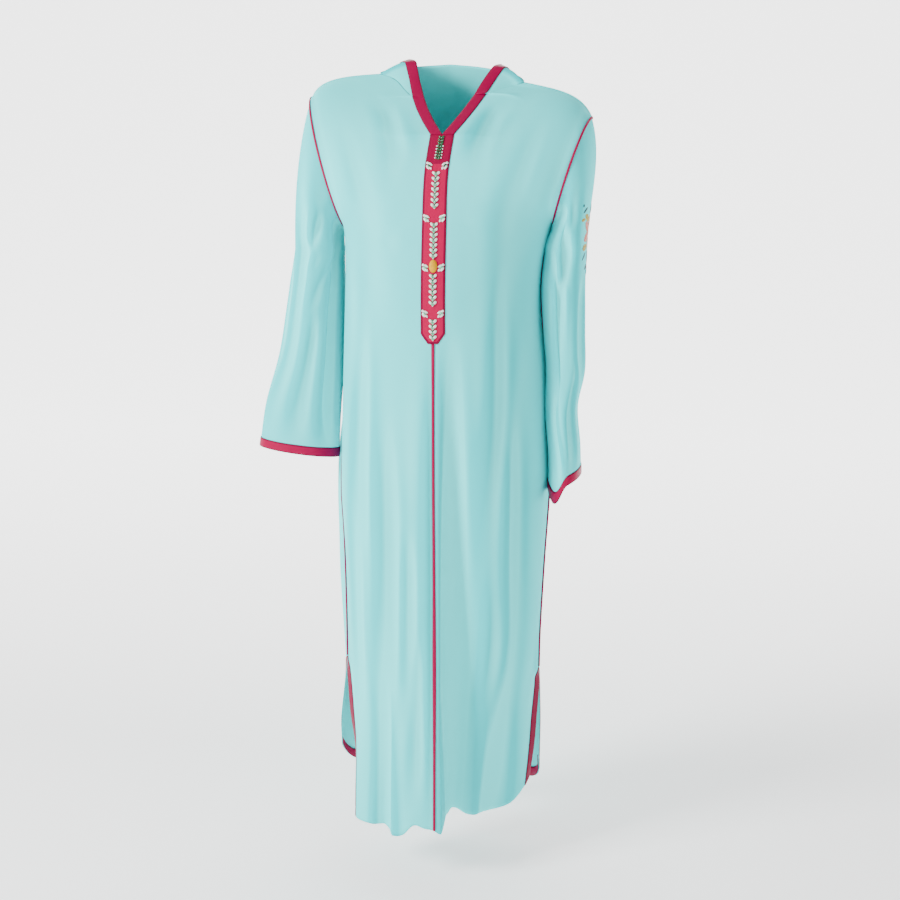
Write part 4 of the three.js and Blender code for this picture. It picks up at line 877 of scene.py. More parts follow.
# %% Piping, beads and thread
def piping_material():
    """Corded piping: a twisted pattern of light and dark threads round the tube."""
    material, shader, start = new_material("satin_piping", 0.55)
    _, across, along = uv_of(start)
    twist = ((along * 2.0 + across * 1.2) * (2 * math.pi / (PIPING_TWIST * MM))).math("SINE")
    plug(shader, "Base Color", color_mix(start, (twist * 0.5 + 0.5).clamp(), PIPING_DEEP, PIPING_BRIGHT))
    plug(shader, "Normal", bump(start, twist, 0.4, 0.0004))
    return material


PIPING = piping_material()


def glass_material(name, code, roughness=0.15, coat=0.6):
    """Polished beads with soft cloudy variation."""
    material, shader, start = new_material(name, roughness, coat=coat)
    place = start.node("ShaderNodeTexCoord", output=3)
    cloud = start.node("ShaderNodeTexNoise", Vector=place, Scale=220.0, Detail=1.0)
    color = linear(code)
    dark = tuple(0.72 * c for c in color[:3]) + (1.0,)
    plug(shader, "Base Color", color_mix(start, cloud, dark, color))
    return material


OPAL = glass_material("beads_opal", "F4FAF4")
MINT = glass_material("beads_mint", "58C795")
GREEN = glass_material("beads_green", "0F6E42")
# Painted shade: a darker copy of the green glass, for the beads at the top of the strip.
SHADED_GREEN = glass_material("beads_shaded_green", "0D5C33")
AMBER = glass_material("stone_amber", "E6A800", 0.3, 0.0)


def thread_material(name, code, dark):
    """Satin stitch: fine threads along the map's second direction, lighter and darker by turns."""
    material, shader, start = new_material(name, 0.45, sheen=0.3)
    _, across, _ = uv_of(start)
    thread = (across * (2 * math.pi / (THREAD_WIDE * MM))).math("SINE")
    plug(shader, "Base Color", color_mix(start, (thread * 0.5 + 0.5).clamp(), linear(dark), linear(code)))
    plug(shader, "Normal", bump(start, thread, 0.5, 0.0003))
    return material


# %% [markdown]
# ## Cutting the panels
#
# The panels are grids over the functions above. Rows are closer where the neck needs them. Every
# row ends on the seams, so neighbours meet there. Only the fronts are drawn in from theirs by a
# hair, so that two neighbouring walls don't share an edge.

# %% Fronts, back, sleeves, hood
ACROSS, DOWN = 84, 260
u_line = np.linspace(0, 1, ACROSS)[None, :]
down_line = np.concatenate([
    np.linspace(0, V_SHARE, 50)[:-1], np.linspace(V_SHARE, 1, 50)[:-1], np.linspace(1, 2, DOWN - 98)])[:, None]
DRAW, ROWS_BESIDE, TIMES = 0.0004, 11, 2
ROUND_SLEEVE, DOWN_SLEEVE, ROUND_HOOD, UP_HOOD = 149, 180, 190, 110


def soften(grid, u):
    """Takes out hard changes from row to row: the mean of the rows above and below, used fully from a
    third of the way across and not at all beside the seams."""
    wide = grid
    for _ in range(TIMES):
        padded = np.pad(wide, ((ROWS_BESIDE, ROWS_BESIDE), (0, 0), (0, 0)), mode="reflect", reflect_type="odd")
        wide = np.mean([padded[k:k + len(grid)] for k in range(2 * ROWS_BESIDE + 1)], axis=0)
    return mix(grid, wide, (ease((u - 0.13) / 0.22) * ease((1 - u) / 0.13))[..., None])


def whole_back(rows):
    """Both halves of the back as one surface, from the right side to the left."""
    right_half, left_half = (body_cloth(side, "back", u_line, rows) for side in ("right", "left"))
    return np.concatenate([right_half[:, ::-1], left_half[:, 1:]], 1)


surfaces = {}
for side in SIDES:
    whole = body_cloth(side, "front", mix(DRAW, 1 - DRAW, u_line), down_line)
    surfaces[f"front_{side}"] = soften(whole, u_line)
surfaces["back"] = whole_back(down_line)
turn_line = np.linspace(1, 3, ROUND_SLEEVE)[None, :]
along_line = np.linspace(0, 2, DOWN_SLEEVE)[:, None]
for side in SIDES:
    surfaces[f"sleeve_{side}"] = sleeve_cloth(side, turn_line, along_line)
around_line = np.linspace(0, 1, ROUND_HOOD)[None, :]
up_line = np.linspace(0, 1, UP_HOOD)[:, None]
surfaces["hood"] = hood_cloth(around_line, up_line)
FACING = {"front_right": 1, "front_left": -1, "back": -1, "sleeve_right": -1, "sleeve_left": 1, "hood": -1}
cloths = {name: cloth_piece(name, grid, FACING[name]) for name, grid in surfaces.items()}
print({name: round(area, 3) for name, area in AREAS.items()}, "square metres")


# %% [markdown]
# ## Bands
#
# A band is a folded ribbon sewn flat along an edge. It is a strip of the same surface,
# lifted off by a hair and given its own thickness, with the map running straight across
# it, so the darker stitched borders stay parallel to the edges.


# %% A ribbon over a surface
BAND_LIFT, BAND_THICK, BAND_ROUNDED = 0.35, 1.0, 0.12


def ribbon(name, grid, outward, node, finish, lift=BAND_LIFT, width=None, faces_flip=False, edge=None,
           longer=(0, 0)):
    """A flat tube round a strip: its outer face lifted by lift and its thickness, its inner face by lift,
    with rounded long edges because the outermost columns of the outer face are lowered. The map's first
    number is the distance to the nearest long edge. Both ends can be drawn out a little."""
    rows, columns = grid.shape[:2]
    for end, inside, more in ((0, 1, longer[0]), (-1, -2, longer[1])):
        grid[end] += unit(grid[end] - grid[inside]) * more
    share = np.linspace(0, 1, columns)[None, :, None]
    crown = np.minimum(1, np.minimum(share, 1 - share) / BAND_ROUNDED) ** 0.5
    top = grid + outward * (lift + BAND_THICK * (0.45 + 0.55 * crown))
    under = grid + outward * lift
    points = np.concatenate([top, under[:, ::-1]], 1)
    if edge is None:
        edge = np.minimum(share, 1 - share)[..., 0] * width * np.ones((rows, 1))
    across = np.concatenate([edge, edge[:, ::-1]], 1) * MM
    along = np.repeat(lengths(grid, 0)[:, columns // 2][:, None], 2 * columns, 1)
    faces = grid_faces(rows, 2 * columns, closed=True)
    ends = np.arange(rows * 2 * columns).reshape(rows, -1)
    for row, turned in ((ends[0], 1), (ends[-1], -1)):
        a, b = row[:columns], row[columns:][::-1]
        faces = np.concatenate([faces, np.stack([a[:-1], a[1:], b[1:], b[:-1]], -1)[:, ::turned]])
    if faces_flip:
        faces = faces[:, ::-1]
    piece = finish_mesh(name, points.reshape(-1, 3), faces, np.stack([across, along], -1).reshape(-1, 2))
    return dress(piece, finish, "band", node)


def body_strip(side, face, share, down, towards):
    """Points and outward directions of a strip of a panel, where share gives u for each point."""
    grid = body_cloth(side, face, share, down)
    return grid, outward_of(grid, towards)


# %% Neck, placket and slit bands
BAND_POINTS = 11


def band_share(side, down, places):
    """How far across the panel each place of the neck band lies: its width over three inner handles."""
    handle = panel_row(side, "front", down)[4]
    return NECK_BAND * places / (3 * handle)


bands = {}
places = np.linspace(0, 1, BAND_POINTS)[None, :]
NECK_TOP, NECK_LONGER, HOOD_LONGER = 0.25, (3.0, 0.6), (3.0, 3.0)
NECK_ROWS = np.linspace(NECK_TOP, V_SHARE, 34)[:, None]
for side in SIDES:
    facing = outside(side, "front")
    grid, out = body_strip(side, "front", band_share(side, NECK_ROWS, places), NECK_ROWS, facing)
    bands[f"neck_{side}"] = ribbon(
        f"ribbon_neck_{side}", grid, out, f"neck_band_{side}", NECK_SATIN, width=NECK_BAND,
        faces_flip=facing > 0, longer=NECK_LONGER)


# %% Placket
def down_of(z):
    """The place down the front at which its middle line has a height."""
    upper = mix(V_SHARE, 1, (V_POINT - z) / (V_POINT - CHEST))
    return np.where(np.asarray(z) > CHEST, upper, 1 + (CHEST - z) / (CHEST - FRONT_HEM))


def placket_point(across, z):
    """A point of the front and its outward direction, from the distance to the middle line and a height."""
    across, z = np.broadcast_arrays(np.asarray(across, float), np.asarray(z, float))
    down = down_of(z)
    found = []
    for side in ("right", "left"):
        share = band_share(side, down, np.abs(across) / NECK_BAND)
        found.append(body_cloth(side, "front", share, down))
    return np.where((across < 0)[..., None], *found)


def placket_surface(across, z):
    """Placket points with directions from small steps across and down."""
    point = placket_point(across, z)
    dx = placket_point(across + SMALL_STEP, z) - placket_point(across - SMALL_STEP, z)
    dz = placket_point(across, z + SMALL_STEP) - placket_point(across, z - SMALL_STEP)
    return point, unit(np.cross(dx, dz))


SMALL_STEP, POINT_SHARE = 0.8, 0.42
placket_z = np.concatenate([
    np.linspace(V_POINT - 0.4, PLACKET_CORNER, 120), np.linspace(PLACKET_CORNER, PLACKET_TIP, 12)[1:]])[:, None]
narrow = mix(1, POINT_SHARE, np.clip((PLACKET_CORNER - placket_z) / (PLACKET_CORNER - PLACKET_TIP), 0, 1))
placket_x = np.linspace(-NECK_BAND, NECK_BAND, 33)[None, :] * narrow
grid, out = placket_surface(placket_x, placket_z)
slant = np.hypot((1 - POINT_SHARE) * NECK_BAND, PLACKET_CORNER - PLACKET_TIP)
beside_point = (NECK_BAND - np.abs(placket_x)) * (PLACKET_CORNER - PLACKET_TIP) / slant
below_point = (placket_z - PLACKET_CORNER) * (1 - POINT_SHARE) * NECK_BAND / slant
to_end = np.minimum(beside_point + below_point, placket_z - PLACKET_TIP)
to_edge = np.minimum(NECK_BAND - np.abs(placket_x), to_end)
bands["placket"] = ribbon(
    "ribbon_placket", grid, out, "placket", PLACKET_SATIN, faces_flip=True, edge=np.maximum(to_edge, 0))

# %% Slit bands
SLIT_ROWS = np.linspace(1 + SLIT_SHARE, 2, 70)[:, None]
for side in SIDES:
    for face in ("front", "back"):
        handle = panel_row(side, face, SLIT_ROWS)[5]
        wide = SLIT_BAND * ease((SLIT_ROWS - 1 - SLIT_SHARE) / 0.022 + 0.25)
        share = 1 - wide / (3 * handle) * (1 - places)
        facing = outside(side, face)
        grid, out = body_strip(side, face, share, SLIT_ROWS, facing)
        bands[f"slit_{face}_{side}"] = ribbon(
            f"ribbon_slit_{face}_{side}", grid, out, f"slit_band_{face}_{side}", SLIT_SATIN,
            width=SLIT_BAND, faces_flip=facing > 0)

# %% Cuffs, hood rim and hem facing
for side in SIDES:
    rings = SLEEVE_RINGS[side]
    share = CUFF_BAND / (rings["z"][0] - rings["z"][-1])
    rows = np.linspace(2 - share, 2, 9)[:, None]
    grid = sleeve_cloth(side, np.linspace(1, 3, 150)[None, :], rows)
    facing = SIDES[side]["sign"]
    out = outward_of(grid, facing)
    out[:, 0] = out[:, -1] = unit(out[:, 0] + out[:, -1])
    grid, out = grid.transpose(1, 0, 2), out.transpose(1, 0, 2)
    bands[f"cuff_{side}"] = ribbon(
        f"ribbon_cuff_{side}", grid, out, f"cuff_band_{side}", CUFF_SATIN, width=CUFF_BAND,
        faces_flip=facing < 0)

around_rows = np.linspace(0.002, 0.998, 240)
speed = np.linalg.norm(hood_form(around_rows, 1.0) - hood_form(around_rows, 0.99), axis=-1) / 0.01
rim_share = np.minimum(HOOD_BAND / speed, 0.97)[:, None]
grid = hood_cloth(around_rows[:, None], 1 - rim_share * (1 - places))
out = outward_of(grid, 1)
bands["hood"] = ribbon(
    "ribbon_hood", grid, out, "hood_band", NECK_SATIN, width=HOOD_BAND, longer=HOOD_LONGER)

FACING_ROWS = np.linspace(2 - HEM_FACING / (CHEST - FRONT_HEM), 2, 8)[:, None]
grid = whole_back(FACING_ROWS).transpose(1, 0, 2)
out = outward_of(grid, 1)
bands["facing"] = ribbon(
    "ribbon_hem_facing", grid, out, "back_hem_facing", CUFF_SATIN, lift=CLOTH_THICK + BAND_LIFT,
    width=HEM_FACING)


# %% [markdown]
# ## Piping
#
# Piping is a cord folded into a strip of satin and caught in the seam. It could be a curve
# with a bevel, but it has to sit in the crease between two panels. Each ring of this tube
# is set out from the seam's point and the cloth on both sides of it.


# %% A cord along a seam
PIPE_HALF, PIPE_HIGH, PIPE_SIDES, PIPE_LIFT, PIPE_ROUND = 2.0, 2.0, 10, 0.2, 8.0
MIDDLE_HALF, MIDDLE_MORE, SIDE_HALF, SIDE_HIGH = 2.2, 1.0, 2.5, 2.8


def pipe(name, path, outward, node, half=PIPE_HALF, high=PIPE_HIGH):
    """A tube along a seam: rings of an oval, half wide and high tall, resting on the seam."""
    path, outward = np.asarray(path), np.asarray(outward)
    half = np.broadcast_to(half, len(path))[:, None, None]
    along = unit(np.gradient(path, axis=0))
    outward = unit(outward - along * (outward * along).sum(-1, keepdims=True))
    aside = np.cross(along, outward)
    angle = np.linspace(0, 2 * np.pi, PIPE_SIDES, endpoint=False)[None, :, None]
    middle = path + outward * (PIPE_LIFT + high / 2)
    middle, aside, outward = middle[:, None], aside[:, None], outward[:, None]
    rings = middle + aside * half * np.cos(angle) + outward * (high / 2) * np.sin(angle)
    count = len(path)
    faces = grid_faces(count, PIPE_SIDES, closed=True)[:, ::-1]
    points = np.concatenate([
        rings.reshape(-1, 3), path[:1] + outward[0] * high / 2, path[-1:] + outward[-1] * high / 2])
    start, end = count * PIPE_SIDES, count * PIPE_SIDES + 1
    first = np.arange(PIPE_SIDES)
    last = first + (count - 1) * PIPE_SIDES
    caps = np.concatenate([
        np.stack([np.roll(first, -1), first, np.full(PIPE_SIDES, start)], -1),
        np.stack([last, np.roll(last, -1), np.full(PIPE_SIDES, end)], -1)])
    length = lengths(path[:, None], 0)
    round_place = np.arange(PIPE_SIDES) / PIPE_SIDES * PIPE_ROUND * MM
    uv = np.stack(np.broadcast_arrays(round_place, length), -1).reshape(-1, 2)
    uv = np.concatenate([uv, [[0, 0], [0, length[-1, 0]]]])
    return dress(finish_mesh(name, points, [*faces, *caps], uv), PIPING, "piping", node)


# %% Piping on the seams
pipes = {}
seam_rows = np.linspace(1 + (CHEST - PLACKET_TIP) / (CHEST - FRONT_HEM), 1.999, 260)
middle_line = body_cloth("right", "front", np.zeros(len(seam_rows)), seam_rows)
beside = [body_cloth(side, "front", np.full(len(seam_rows), 0.03), seam_rows) for side in SIDES]
middle_out = unit(np.cross(beside[1] - beside[0], np.gradient(middle_line, axis=0))) * -1
height = middle_line[:, 2]  # the piping in the middle shows wider at two heights
wider = np.exp(-(((height + 1010) / 120) ** 2)) + 0.5 * np.exp(-(((height + 460) / 60) ** 2))
pipes["centre"] = pipe("piping_centre", middle_line, middle_out, "centre_piping",
                       half=MIDDLE_HALF + MIDDLE_MORE * wider)

ARM_ENDS = 0.95
for side in SIDES:
    share = np.concatenate([np.linspace(ARM_ENDS, 0, 90), np.linspace(0, ARM_ENDS, 90)[1:]])
    is_front = np.concatenate([np.full(90, True), np.full(89, False)])
    path = np.where(is_front[:, None], armhole(side, "front", share), armhole(side, "back", share))
    ones, low = np.ones(len(share)), np.clip(share, 0.01, 1)
    halves = [panel_outward(side, face, ones, low) for face in ("front", "back")]
    body_out = np.where(is_front[:, None], *halves)
    arm_out = sleeve_outward(side, np.where(is_front, share, 2 - share), 0.02 * ones)
    pipes[f"arm_{side}"] = pipe(f"piping_arm_{side}", path, body_out + arm_out, f"armhole_piping_{side}")
    side_rows = np.linspace(1.03, 1 + SLIT_SHARE - 0.002, 150)
    path = outer_edge(side, "front", side_rows)[0]
    ones = np.ones(len(side_rows))
    out = panel_outward(side, "front", ones, side_rows) + panel_outward(side, "back", ones, side_rows)
    pipes[f"side_{side}"] = pipe(
        f"piping_side_{side}", path, out, f"side_piping_{side}", half=SIDE_HALF, high=SIDE_HIGH)
print("bands:", len(bands), "pipings:", len(pipes))

# %% [markdown]
# ## Bead work
#
# The chest strip carries columns of small chevrons, each of two slanting opal drops with
# green beads between them, an amber stone, and leaf-shaped groups beside the columns. Each
# bead is the same small egg, stretched and turned. Copying one shape with arrays is quick,
# and keeps every bead on the strip's own surface.

# %% Beads as stretched eggs
EGG_ROUND, EGG_ROWS = 10, 6
egg_angle = np.linspace(0, 2 * np.pi, EGG_ROUND, endpoint=False)
egg_rise = np.linspace(-np.pi / 2, np.pi / 2, EGG_ROWS + 1)[1:-1]
EGG = np.concatenate([
    [[0, 0, -1]],
    np.stack([np.outer(np.cos(egg_rise), np.cos(egg_angle)), np.outer(np.cos(egg_rise), np.sin(egg_angle)),
              np.repeat(np.sin(egg_rise)[:, None], EGG_ROUND, 1)], -1).reshape(-1, 3),
    [[0, 0, 1]]])
egg_top, around_egg = len(EGG) - 1, [(k, (k + 1) % EGG_ROUND) for k in range(EGG_ROUND)]
last_ring = egg_top - EGG_ROUND
egg_faces = [
    *((0, 1 + after, 1 + k) for k, after in around_egg),
    *(tuple(1 + f) for f in grid_faces(len(egg_rise), EGG_ROUND, closed=True)[:, ::-1]),
    *((last_ring + k, last_ring + after, egg_top) for k, after in around_egg)]
ON_STRIP = 1.35


def beads(name, rows, finish, *nodes):
    """Eggs on the strip. Each row holds the place across, the height, half length, half width, half
    thickness and the angle of the long axis from straight up. The narrow end points down."""
    across, z, long, wide, thick, tilt = np.array(rows, float).T
    point, out = placket_surface(across, z)
    up = unit(np.array([0.0, 0, 1]) - out * out[:, 2:3])
    right = np.cross(up, out)
    tilt = np.radians(tilt)[:, None]
    long_way = up * np.cos(tilt) + right * np.sin(tilt)
    wide_way = right * np.cos(tilt) - up * np.sin(tilt)
    taper = 1 + 0.35 * EGG[:, 2]
    shape = (
        EGG[None, :, 2, None] * (long_way * long[:, None])[:, None]
        + (EGG[:, 0] * taper)[None, :, None] * (wide_way * wide[:, None])[:, None]
        + EGG[None, :, 1, None] * (out * thick[:, None])[:, None])
    points = (point + out * (ON_STRIP + 0.55 * thick[:, None]))[:, None] + shape
    count = len(EGG)
    faces = [tuple(k * count + i for i in face) for k in range(len(rows)) for face in egg_faces]
    return dress(finish_mesh(name, points.reshape(-1, 3), faces), finish, "beads", *nodes)


# %% Columns of chevrons
BEAD_COLUMNS = table("top bottom chevrons", [
    (-118, -156, 8), (-175, -235, 7), (-257, -315, 7), (-339, -391, 6), (-412, -447, 4)])
jitter = np.random.default_rng(7)


def green_block(top, bottom, count):
    """The first column: close rows of green drops in the darker copy of the glass, painted shade at the top
    of the strip, with an opal bead at each end of the lower rows.
    """
    z = top - (np.arange(count) + 0.5) * (top - bottom) / count
    deep = [(sign * 2.1, level, 3.4, 1.9, 1.5, sign * 42) for level in z for sign in (-1, 1)]
    dots = [(sign * 5.0, level, 1.3, 1.2, 1.3, 0) for level in z[count // 2 - 1:] for sign in (-1, 1)]
    return dots, [], deep


def chevrons(top, bottom, count):
    """Pairs of opal drops that slant up and out, mint pairs inside them and a deep green bead between."""
    opal, mint, deep = [], [], []
    for z in top - (np.arange(count) + 0.5) * (top - bottom) / count:
        for sign in (-1, 1):
            wobble = jitter.uniform(-5, 5)
            opal.append((sign * 2.9, z + 0.9, 4.4, 2.2, 1.6, sign * (42 + wobble)))
            mint.append((sign * 1.2, z - 1.4, 3.3, 1.35, 2.0, sign * (36 - wobble)))
        opal.append((0, z - 3.0, 1.7, 1.6, 1.5, 0))
        deep.append((0, z + 2.6, 1.8, 1.5, 1.8, 0))
    return opal, mint, deep


for order in range(5):
    top, bottom, count = (BEAD_COLUMNS[n][order] for n in ("top", "bottom", "chevrons"))
    opal, mint, deep = (green_block if order == 0 else chevrons)(top, bottom, int(count))
    beads(f"beads_opal_{order + 1}", opal, OPAL, f"bead_row_{order + 1}")
    # The top column's green beads take the darker copy of the glass: painted shade.
    beads(f"beads_deep_{order + 1}", deep, GREEN if order else SHADED_GREEN)
    if mint:
        beads(f"beads_mint_{order + 1}", mint, MINT)

print("chevrons:", int(BEAD_COLUMNS["chevrons"].sum()), "in columns:", len(BEAD_COLUMNS["chevrons"]))

# %% Leaf groups
SPRIG_HEIGHTS = (-166, -250, -329, -403)
SPRIG_OUT, SPRIG_TILT = 13.0, 42
SPRIG_PETALS = ((4.9, 0.7, 3.1, 8), (-4.7, -0.4, 3.0, -6), (0.7, 3.1, 4.0, 16), (-0.5, -3.0, 4.1, -14))


def sprig(sign, z, order):
    """Four opal petals round a green drop, all along one slanting line that leads up and out."""
    lean = math.radians(SPRIG_TILT)
    opal = []
    for along, aside, long, turned in SPRIG_PETALS:
        dx = along * math.sin(lean) - aside * math.cos(lean)
        dz = along * math.cos(lean) + aside * math.sin(lean)
        angle = sign * (SPRIG_TILT + turned + 3 * order)
        opal.append((sign * (SPRIG_OUT + dx), z + dz, long, 2.05, 1.5, angle))
    green = [(sign * SPRIG_OUT, z, 4.2, 1.7, 2.2, sign * SPRIG_TILT)]
    return opal, green


for order, z in enumerate(SPRIG_HEIGHTS):
    for side, s in SIDES.items():
        opal, green = sprig(s["sign"], z, order)
        beads(f"sprig_opal_{side}_{order + 1}", opal, OPAL, f"bead_sprig_{side}_{order + 1}")
        # The top sprig's green bead is painted shade: the darker green glass where the lower sprigs have mint.
        beads(f"sprig_green_{side}_{order + 1}", green, MINT if order else SHADED_GREEN)

# %% The stone
STONE_Z, STONE_WIDE, STONE_HIGH, STONE_RISE, STONE_ROUND = -326.5, 6.7, 10.6, 4.4, 48
round_line = np.linspace(0, 2 * np.pi, STONE_ROUND, endpoint=False)[None, :]
ring_line = np.linspace(1, 0.02, 14)[:, None]
point, out = placket_surface(
    STONE_WIDE * ring_line * np.cos(round_line), STONE_Z + STONE_HIGH * ring_line * np.sin(round_line))
dome = STONE_RISE * (1 - ring_line ** 2) ** 0.5 + 0.9 * (ring_line < 0.99)
rings = point + out * (ON_STRIP + dome)[..., None]
foot = point[:1] + out[:1] * (ON_STRIP - 0.3)
grid = np.concatenate([foot, rings])
stone = finish_mesh("stone_oval", grid.reshape(-1, 3), grid_faces(len(grid), STONE_ROUND, closed=True))
dress(stone, AMBER, "stone", "centre_stone")

# %% [markdown]
# ## Sleeve embroidery
#
# The left sleeve carries a small embroidered spray of leaves and petals on its outer side,
# in satin stitch. Only its front edge shows in the photograph, so the rest is finished in
# the same way. Each petal is a padded leaf laid on the sleeve's own surface. A bump map
# would not raise it, and padded stitches catch the light.


# %% Petals on the sleeve
def sleeve_place(arc, z):
    """Sleeve point and outward direction at an arc length round from its outermost line, towards the
    front, and a height. The place along is found by halving the interval, all points at once."""
    turn = np.mod(arc / SLEEVE_RADIUS / np.pi, 2)
    low, high = np.zeros(z.shape), np.full(z.shape, 2.0)
    for _ in range(24):
        middle = (low + high) / 2
        above = sleeve_cloth("left", turn, middle)[..., 2] > z
        low, high = np.where(above, middle, low), np.where(above, high, middle)
    return sleeve_cloth("left", turn, low), sleeve_outward("left", turn, np.maximum(low, 0.01))


PETAL_LONG, PETAL_WIDE = 15, 9


def petals(name, rows, finish):
    """Padded leaves. Each row holds arc, height, half length, half width and tilt from straight up. Across
    a leaf the padding is 1 - t^2, and its half width along it is (1 - s^2) to the power 0.7."""
    arc, z, long, wide, tilt = (column[:, None, None] for column in np.array(rows, float).T)
    tilt = np.radians(tilt)
    s, t = np.linspace(-1, 1, PETAL_LONG)[None, :, None], np.linspace(-1, 1, PETAL_WIDE)[None, None, :]
    along, aside = s * long, t * wide * (1 - s * s + 1e-4) ** 0.7
    point, out = sleeve_place(
        arc + along * np.sin(tilt) + aside * np.cos(tilt), z + along * np.cos(tilt) - aside * np.sin(tilt))
    rise = 0.15 + 0.9 * (1 - t * t) * (1 - s ** 4)
    points = (point + out * rise[..., None]).reshape(-1, 3)
    one = grid_faces(PETAL_LONG, PETAL_WIDE)
    faces = np.concatenate([one + k * PETAL_LONG * PETAL_WIDE for k in range(len(rows))])
    uv = np.stack(np.broadcast_arrays(along + 0 * aside, aside), -1).reshape(-1, 2) * MM
    return dress(finish_mesh(name, points, faces, uv), finish)


# %% The spray
PETAL_TURNS = (0, 60, 120, 180, 240, 300)
FLOWER_ARC, FLOWER_Z = 2, -271


def around_flower(reach, long, wide):
    """One leaf for each petal, its middle at a distance from the middle of the flower."""
    rows = []
    for tilt in PETAL_TURNS:
        lean = math.radians(tilt)
        rows.append((FLOWER_ARC + reach * math.sin(lean), FLOWER_Z + reach * math.cos(lean), long, wide, tilt))
    return rows


SPRAY = {
    "teal": ("0C4650", "062C36", [
        (43, -229, 2.6, 2.4, 0), (34, -236, 9, 2.2, 125), (-28, -237, 9, 2.2, 55),
        (-20, -229, 8, 2.4, 20), (3, -233, 9, 4, 4)]),
    "olive": ("C9AE12", "94800A", [
        (21, -248, 13, 5.5, 72), (-18, -248, 12, 5, 292), (24, -297, 12, 5.5, 108),
        (-16, -298, 13, 5, 250), (38, -252, 7, 3, 100)]),
    "dark_olive": ("55540E", "3A3A08", [
        (21, -249, 8, 1.5, 72), (-18, -249, 7, 1.5, 292), (25, -299, 7, 1.6, 108), (-16, -299, 8, 1.4, 250)]),
    "peach": ("E8836C", "C45E4C", around_flower(17, 14, 7.5)),
    "russet": ("8A2E28", "64201C", [
        *around_flower(18, 6, 1.6)[1:3], *around_flower(14, 5, 1.4)[3:], (FLOWER_ARC, FLOWER_Z, 5, 5, 0)]),
    "slate": ("3E6478", "24485A", [
        (3, -312, 13, 1.9, 175), (5, -334, 11, 1.7, 170), (27, -312, 10, 1.9, 137),
        (-15, -313, 9, 1.8, 222), (14, -330, 8, 3, 120)])}
for color, (code, dark, rows) in SPRAY.items():
    petals(f"spray_{color}", rows, thread_material(f"thread_{color}", code, dark))
print("embroidered petals:", sum(len(rows) for _, _, rows in SPRAY.values()))

# %% [markdown]
# ## What the cloth was cut from
#
# Each sheet states its flat cut, and its area is printed beside it.

ALLOWED_MORE = 1.02
CUTS = {
    "front_right": (0.34, 1.36), "front_left": (0.34, 1.34), "back": (0.66, 1.34),
    "sleeve_right": (0.42, 0.66), "sleeve_left": (0.42, 0.68), "hood": (0.62, 0.40)}
for name, (wide, long) in CUTS.items():
    share = min(1.0, AREAS[name] * ALLOWED_MORE / (wide * long))
    round(wide * long * share, 4)
    print(name, "shows", round(AREAS[name], 3), "of a flat", round(wide * long, 3), "share", round(share, 2))

# %% [markdown]
# ## Studio
#
# A pale floor and backdrop, a big soft light from the front left and a weaker one from the
# right. The camera stands where the photograph's did: a little to the robe's left, at chest
# height, looking slightly down.

# %% Floor
FLOOR_Z = -1.42
sweep = table("y z", [
    (-14, FLOOR_Z), (0.5, FLOOR_Z), (1.6, FLOOR_Z + 0.02), (2.8, FLOOR_Z + 0.3), (4, FLOOR_Z + 1.2),
    (5, FLOOR_Z + 2.8), (5.6, FLOOR_Z + 5), (6, 9)])
sweep_y = np.concatenate([np.linspace(-14, 0.5, 6), np.linspace(0.5, 6, 70)[1:]])
sweep_z = read(sweep, "z", sweep_y)
sweep_grid = vector(np.linspace(-14, 14, 3)[None, :], sweep_y[:, None], sweep_z[:, None]) / MM
floor = finish_mesh("floor", sweep_grid.reshape(-1, 3), grid_faces(len(sweep_y), 3)[:, ::-1])
floor_material, floor_shader, start = new_material("pale_floor", 0.9)
floor_shader.inputs["Base Color"].default_value = (0.94, 0.94, 0.94, 1)
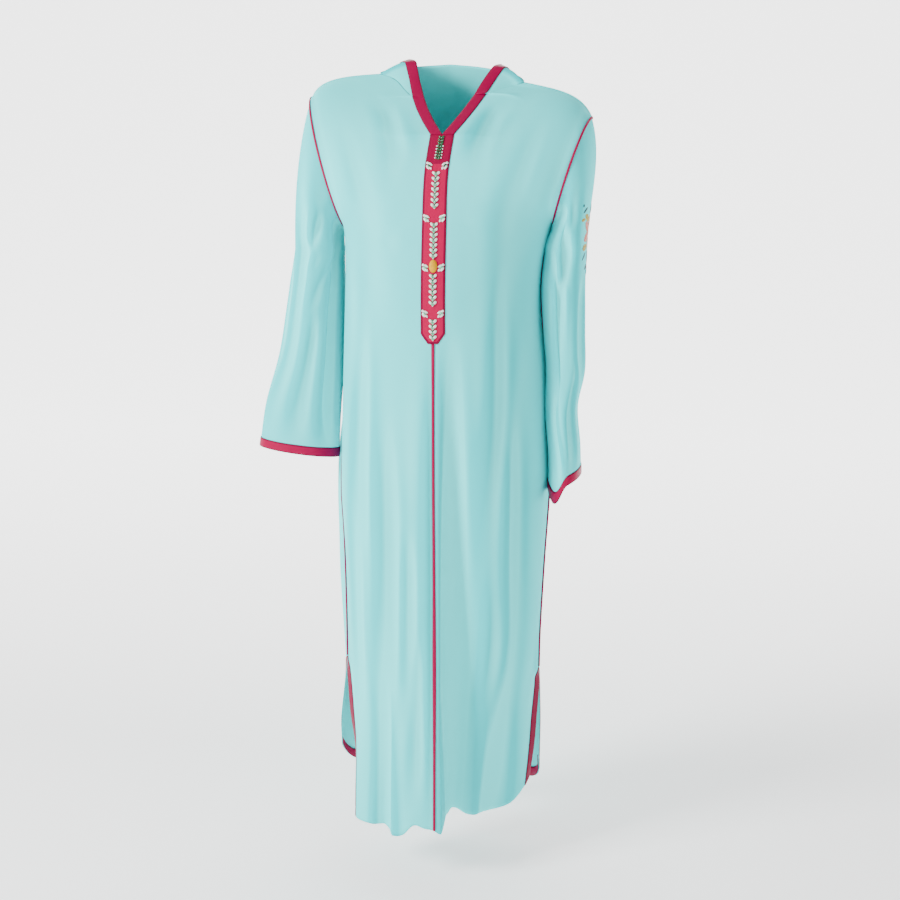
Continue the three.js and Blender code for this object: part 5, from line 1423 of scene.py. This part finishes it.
# Painted light: the floor and backdrop glow, dim near the robe and at full strength from about 2.8 m back.
place = start.node("ShaderNodeTexCoord", output=3)
far = ((place.node("ShaderNodeSeparateXYZ", output=1, Vector=place) - 0.4) / 2.4).clamp()
plug(floor_shader, "Emission Color", color_mix(start, far, (0.22, 0.22, 0.22, 1), (1, 1, 1, 1)))
floor_shader.inputs["Emission Strength"].default_value = 2.7
floor.data.materials.append(floor_material)

world = bpy.data.worlds.new("studio")
bpy.context.scene.world = world
world.use_nodes = True
world.node_tree.nodes["Background"].inputs["Color"].default_value = (1.0, 1.0, 1.0, 1)
world.node_tree.nodes["Background"].inputs["Strength"].default_value = 0.5


# %% Lights
def axes_at(x, y, z, place):
    """A matrix from three axes and a place."""
    return Matrix([[float(v[i]) for v in (x, y, z, place)] for i in range(3)] + [[0, 0, 0, 1]])


def area_light(name, place, aim, size, power):
    """A square soft light, turned to its aim."""
    data = bpy.data.lights.new(name, "AREA")
    data.size, data.energy = size, power
    lamp = bpy.data.objects.new(name, data)
    away = np.array(place, float) - np.array(aim, float)
    z = away / np.linalg.norm(away)
    x = unit(np.cross([0.0, 0, 1], z))
    y = np.cross(z, x)
    lamp.matrix_world = axes_at(x, y, z, place)
    bpy.context.scene.collection.objects.link(lamp)


area_light("key", (-2.6, -1.9, 1.0), (0, 0, -0.6), 1.0, 205)
area_light("fill", (2.4, -2.2, 0.4), (0, 0, -0.7), 1.6, 18)

# %% The camera
CAMERA_TURN, CAMERA_TILT, CAMERA_AWAY, CAMERA_Z, CAMERA_ASIDE = 7.0, 10.4, 2.1, -0.27, 0.007
FOCUS_PIXELS, PHOTO_PIXELS, SENSOR = 1193, 900, 36
turn, tilt = math.radians(CAMERA_TURN), math.radians(CAMERA_TILT)
right = np.array([math.cos(turn), math.sin(turn), 0])
look = np.array([-math.sin(turn) * math.cos(tilt), math.cos(turn) * math.cos(tilt), -math.sin(tilt)])
up = np.cross(right, look)
place = np.array([CAMERA_AWAY * math.sin(turn), -CAMERA_AWAY * math.cos(turn), CAMERA_Z]) + CAMERA_ASIDE * right
camera_data = bpy.data.cameras.new("camera")
camera_data.sensor_width = SENSOR
camera_data.lens = FOCUS_PIXELS / PHOTO_PIXELS * SENSOR
camera = bpy.data.objects.new("camera", camera_data)
camera.matrix_world = axes_at(right, up, -look, place)
bpy.context.scene.collection.objects.link(camera)
bpy.context.scene.camera = camera
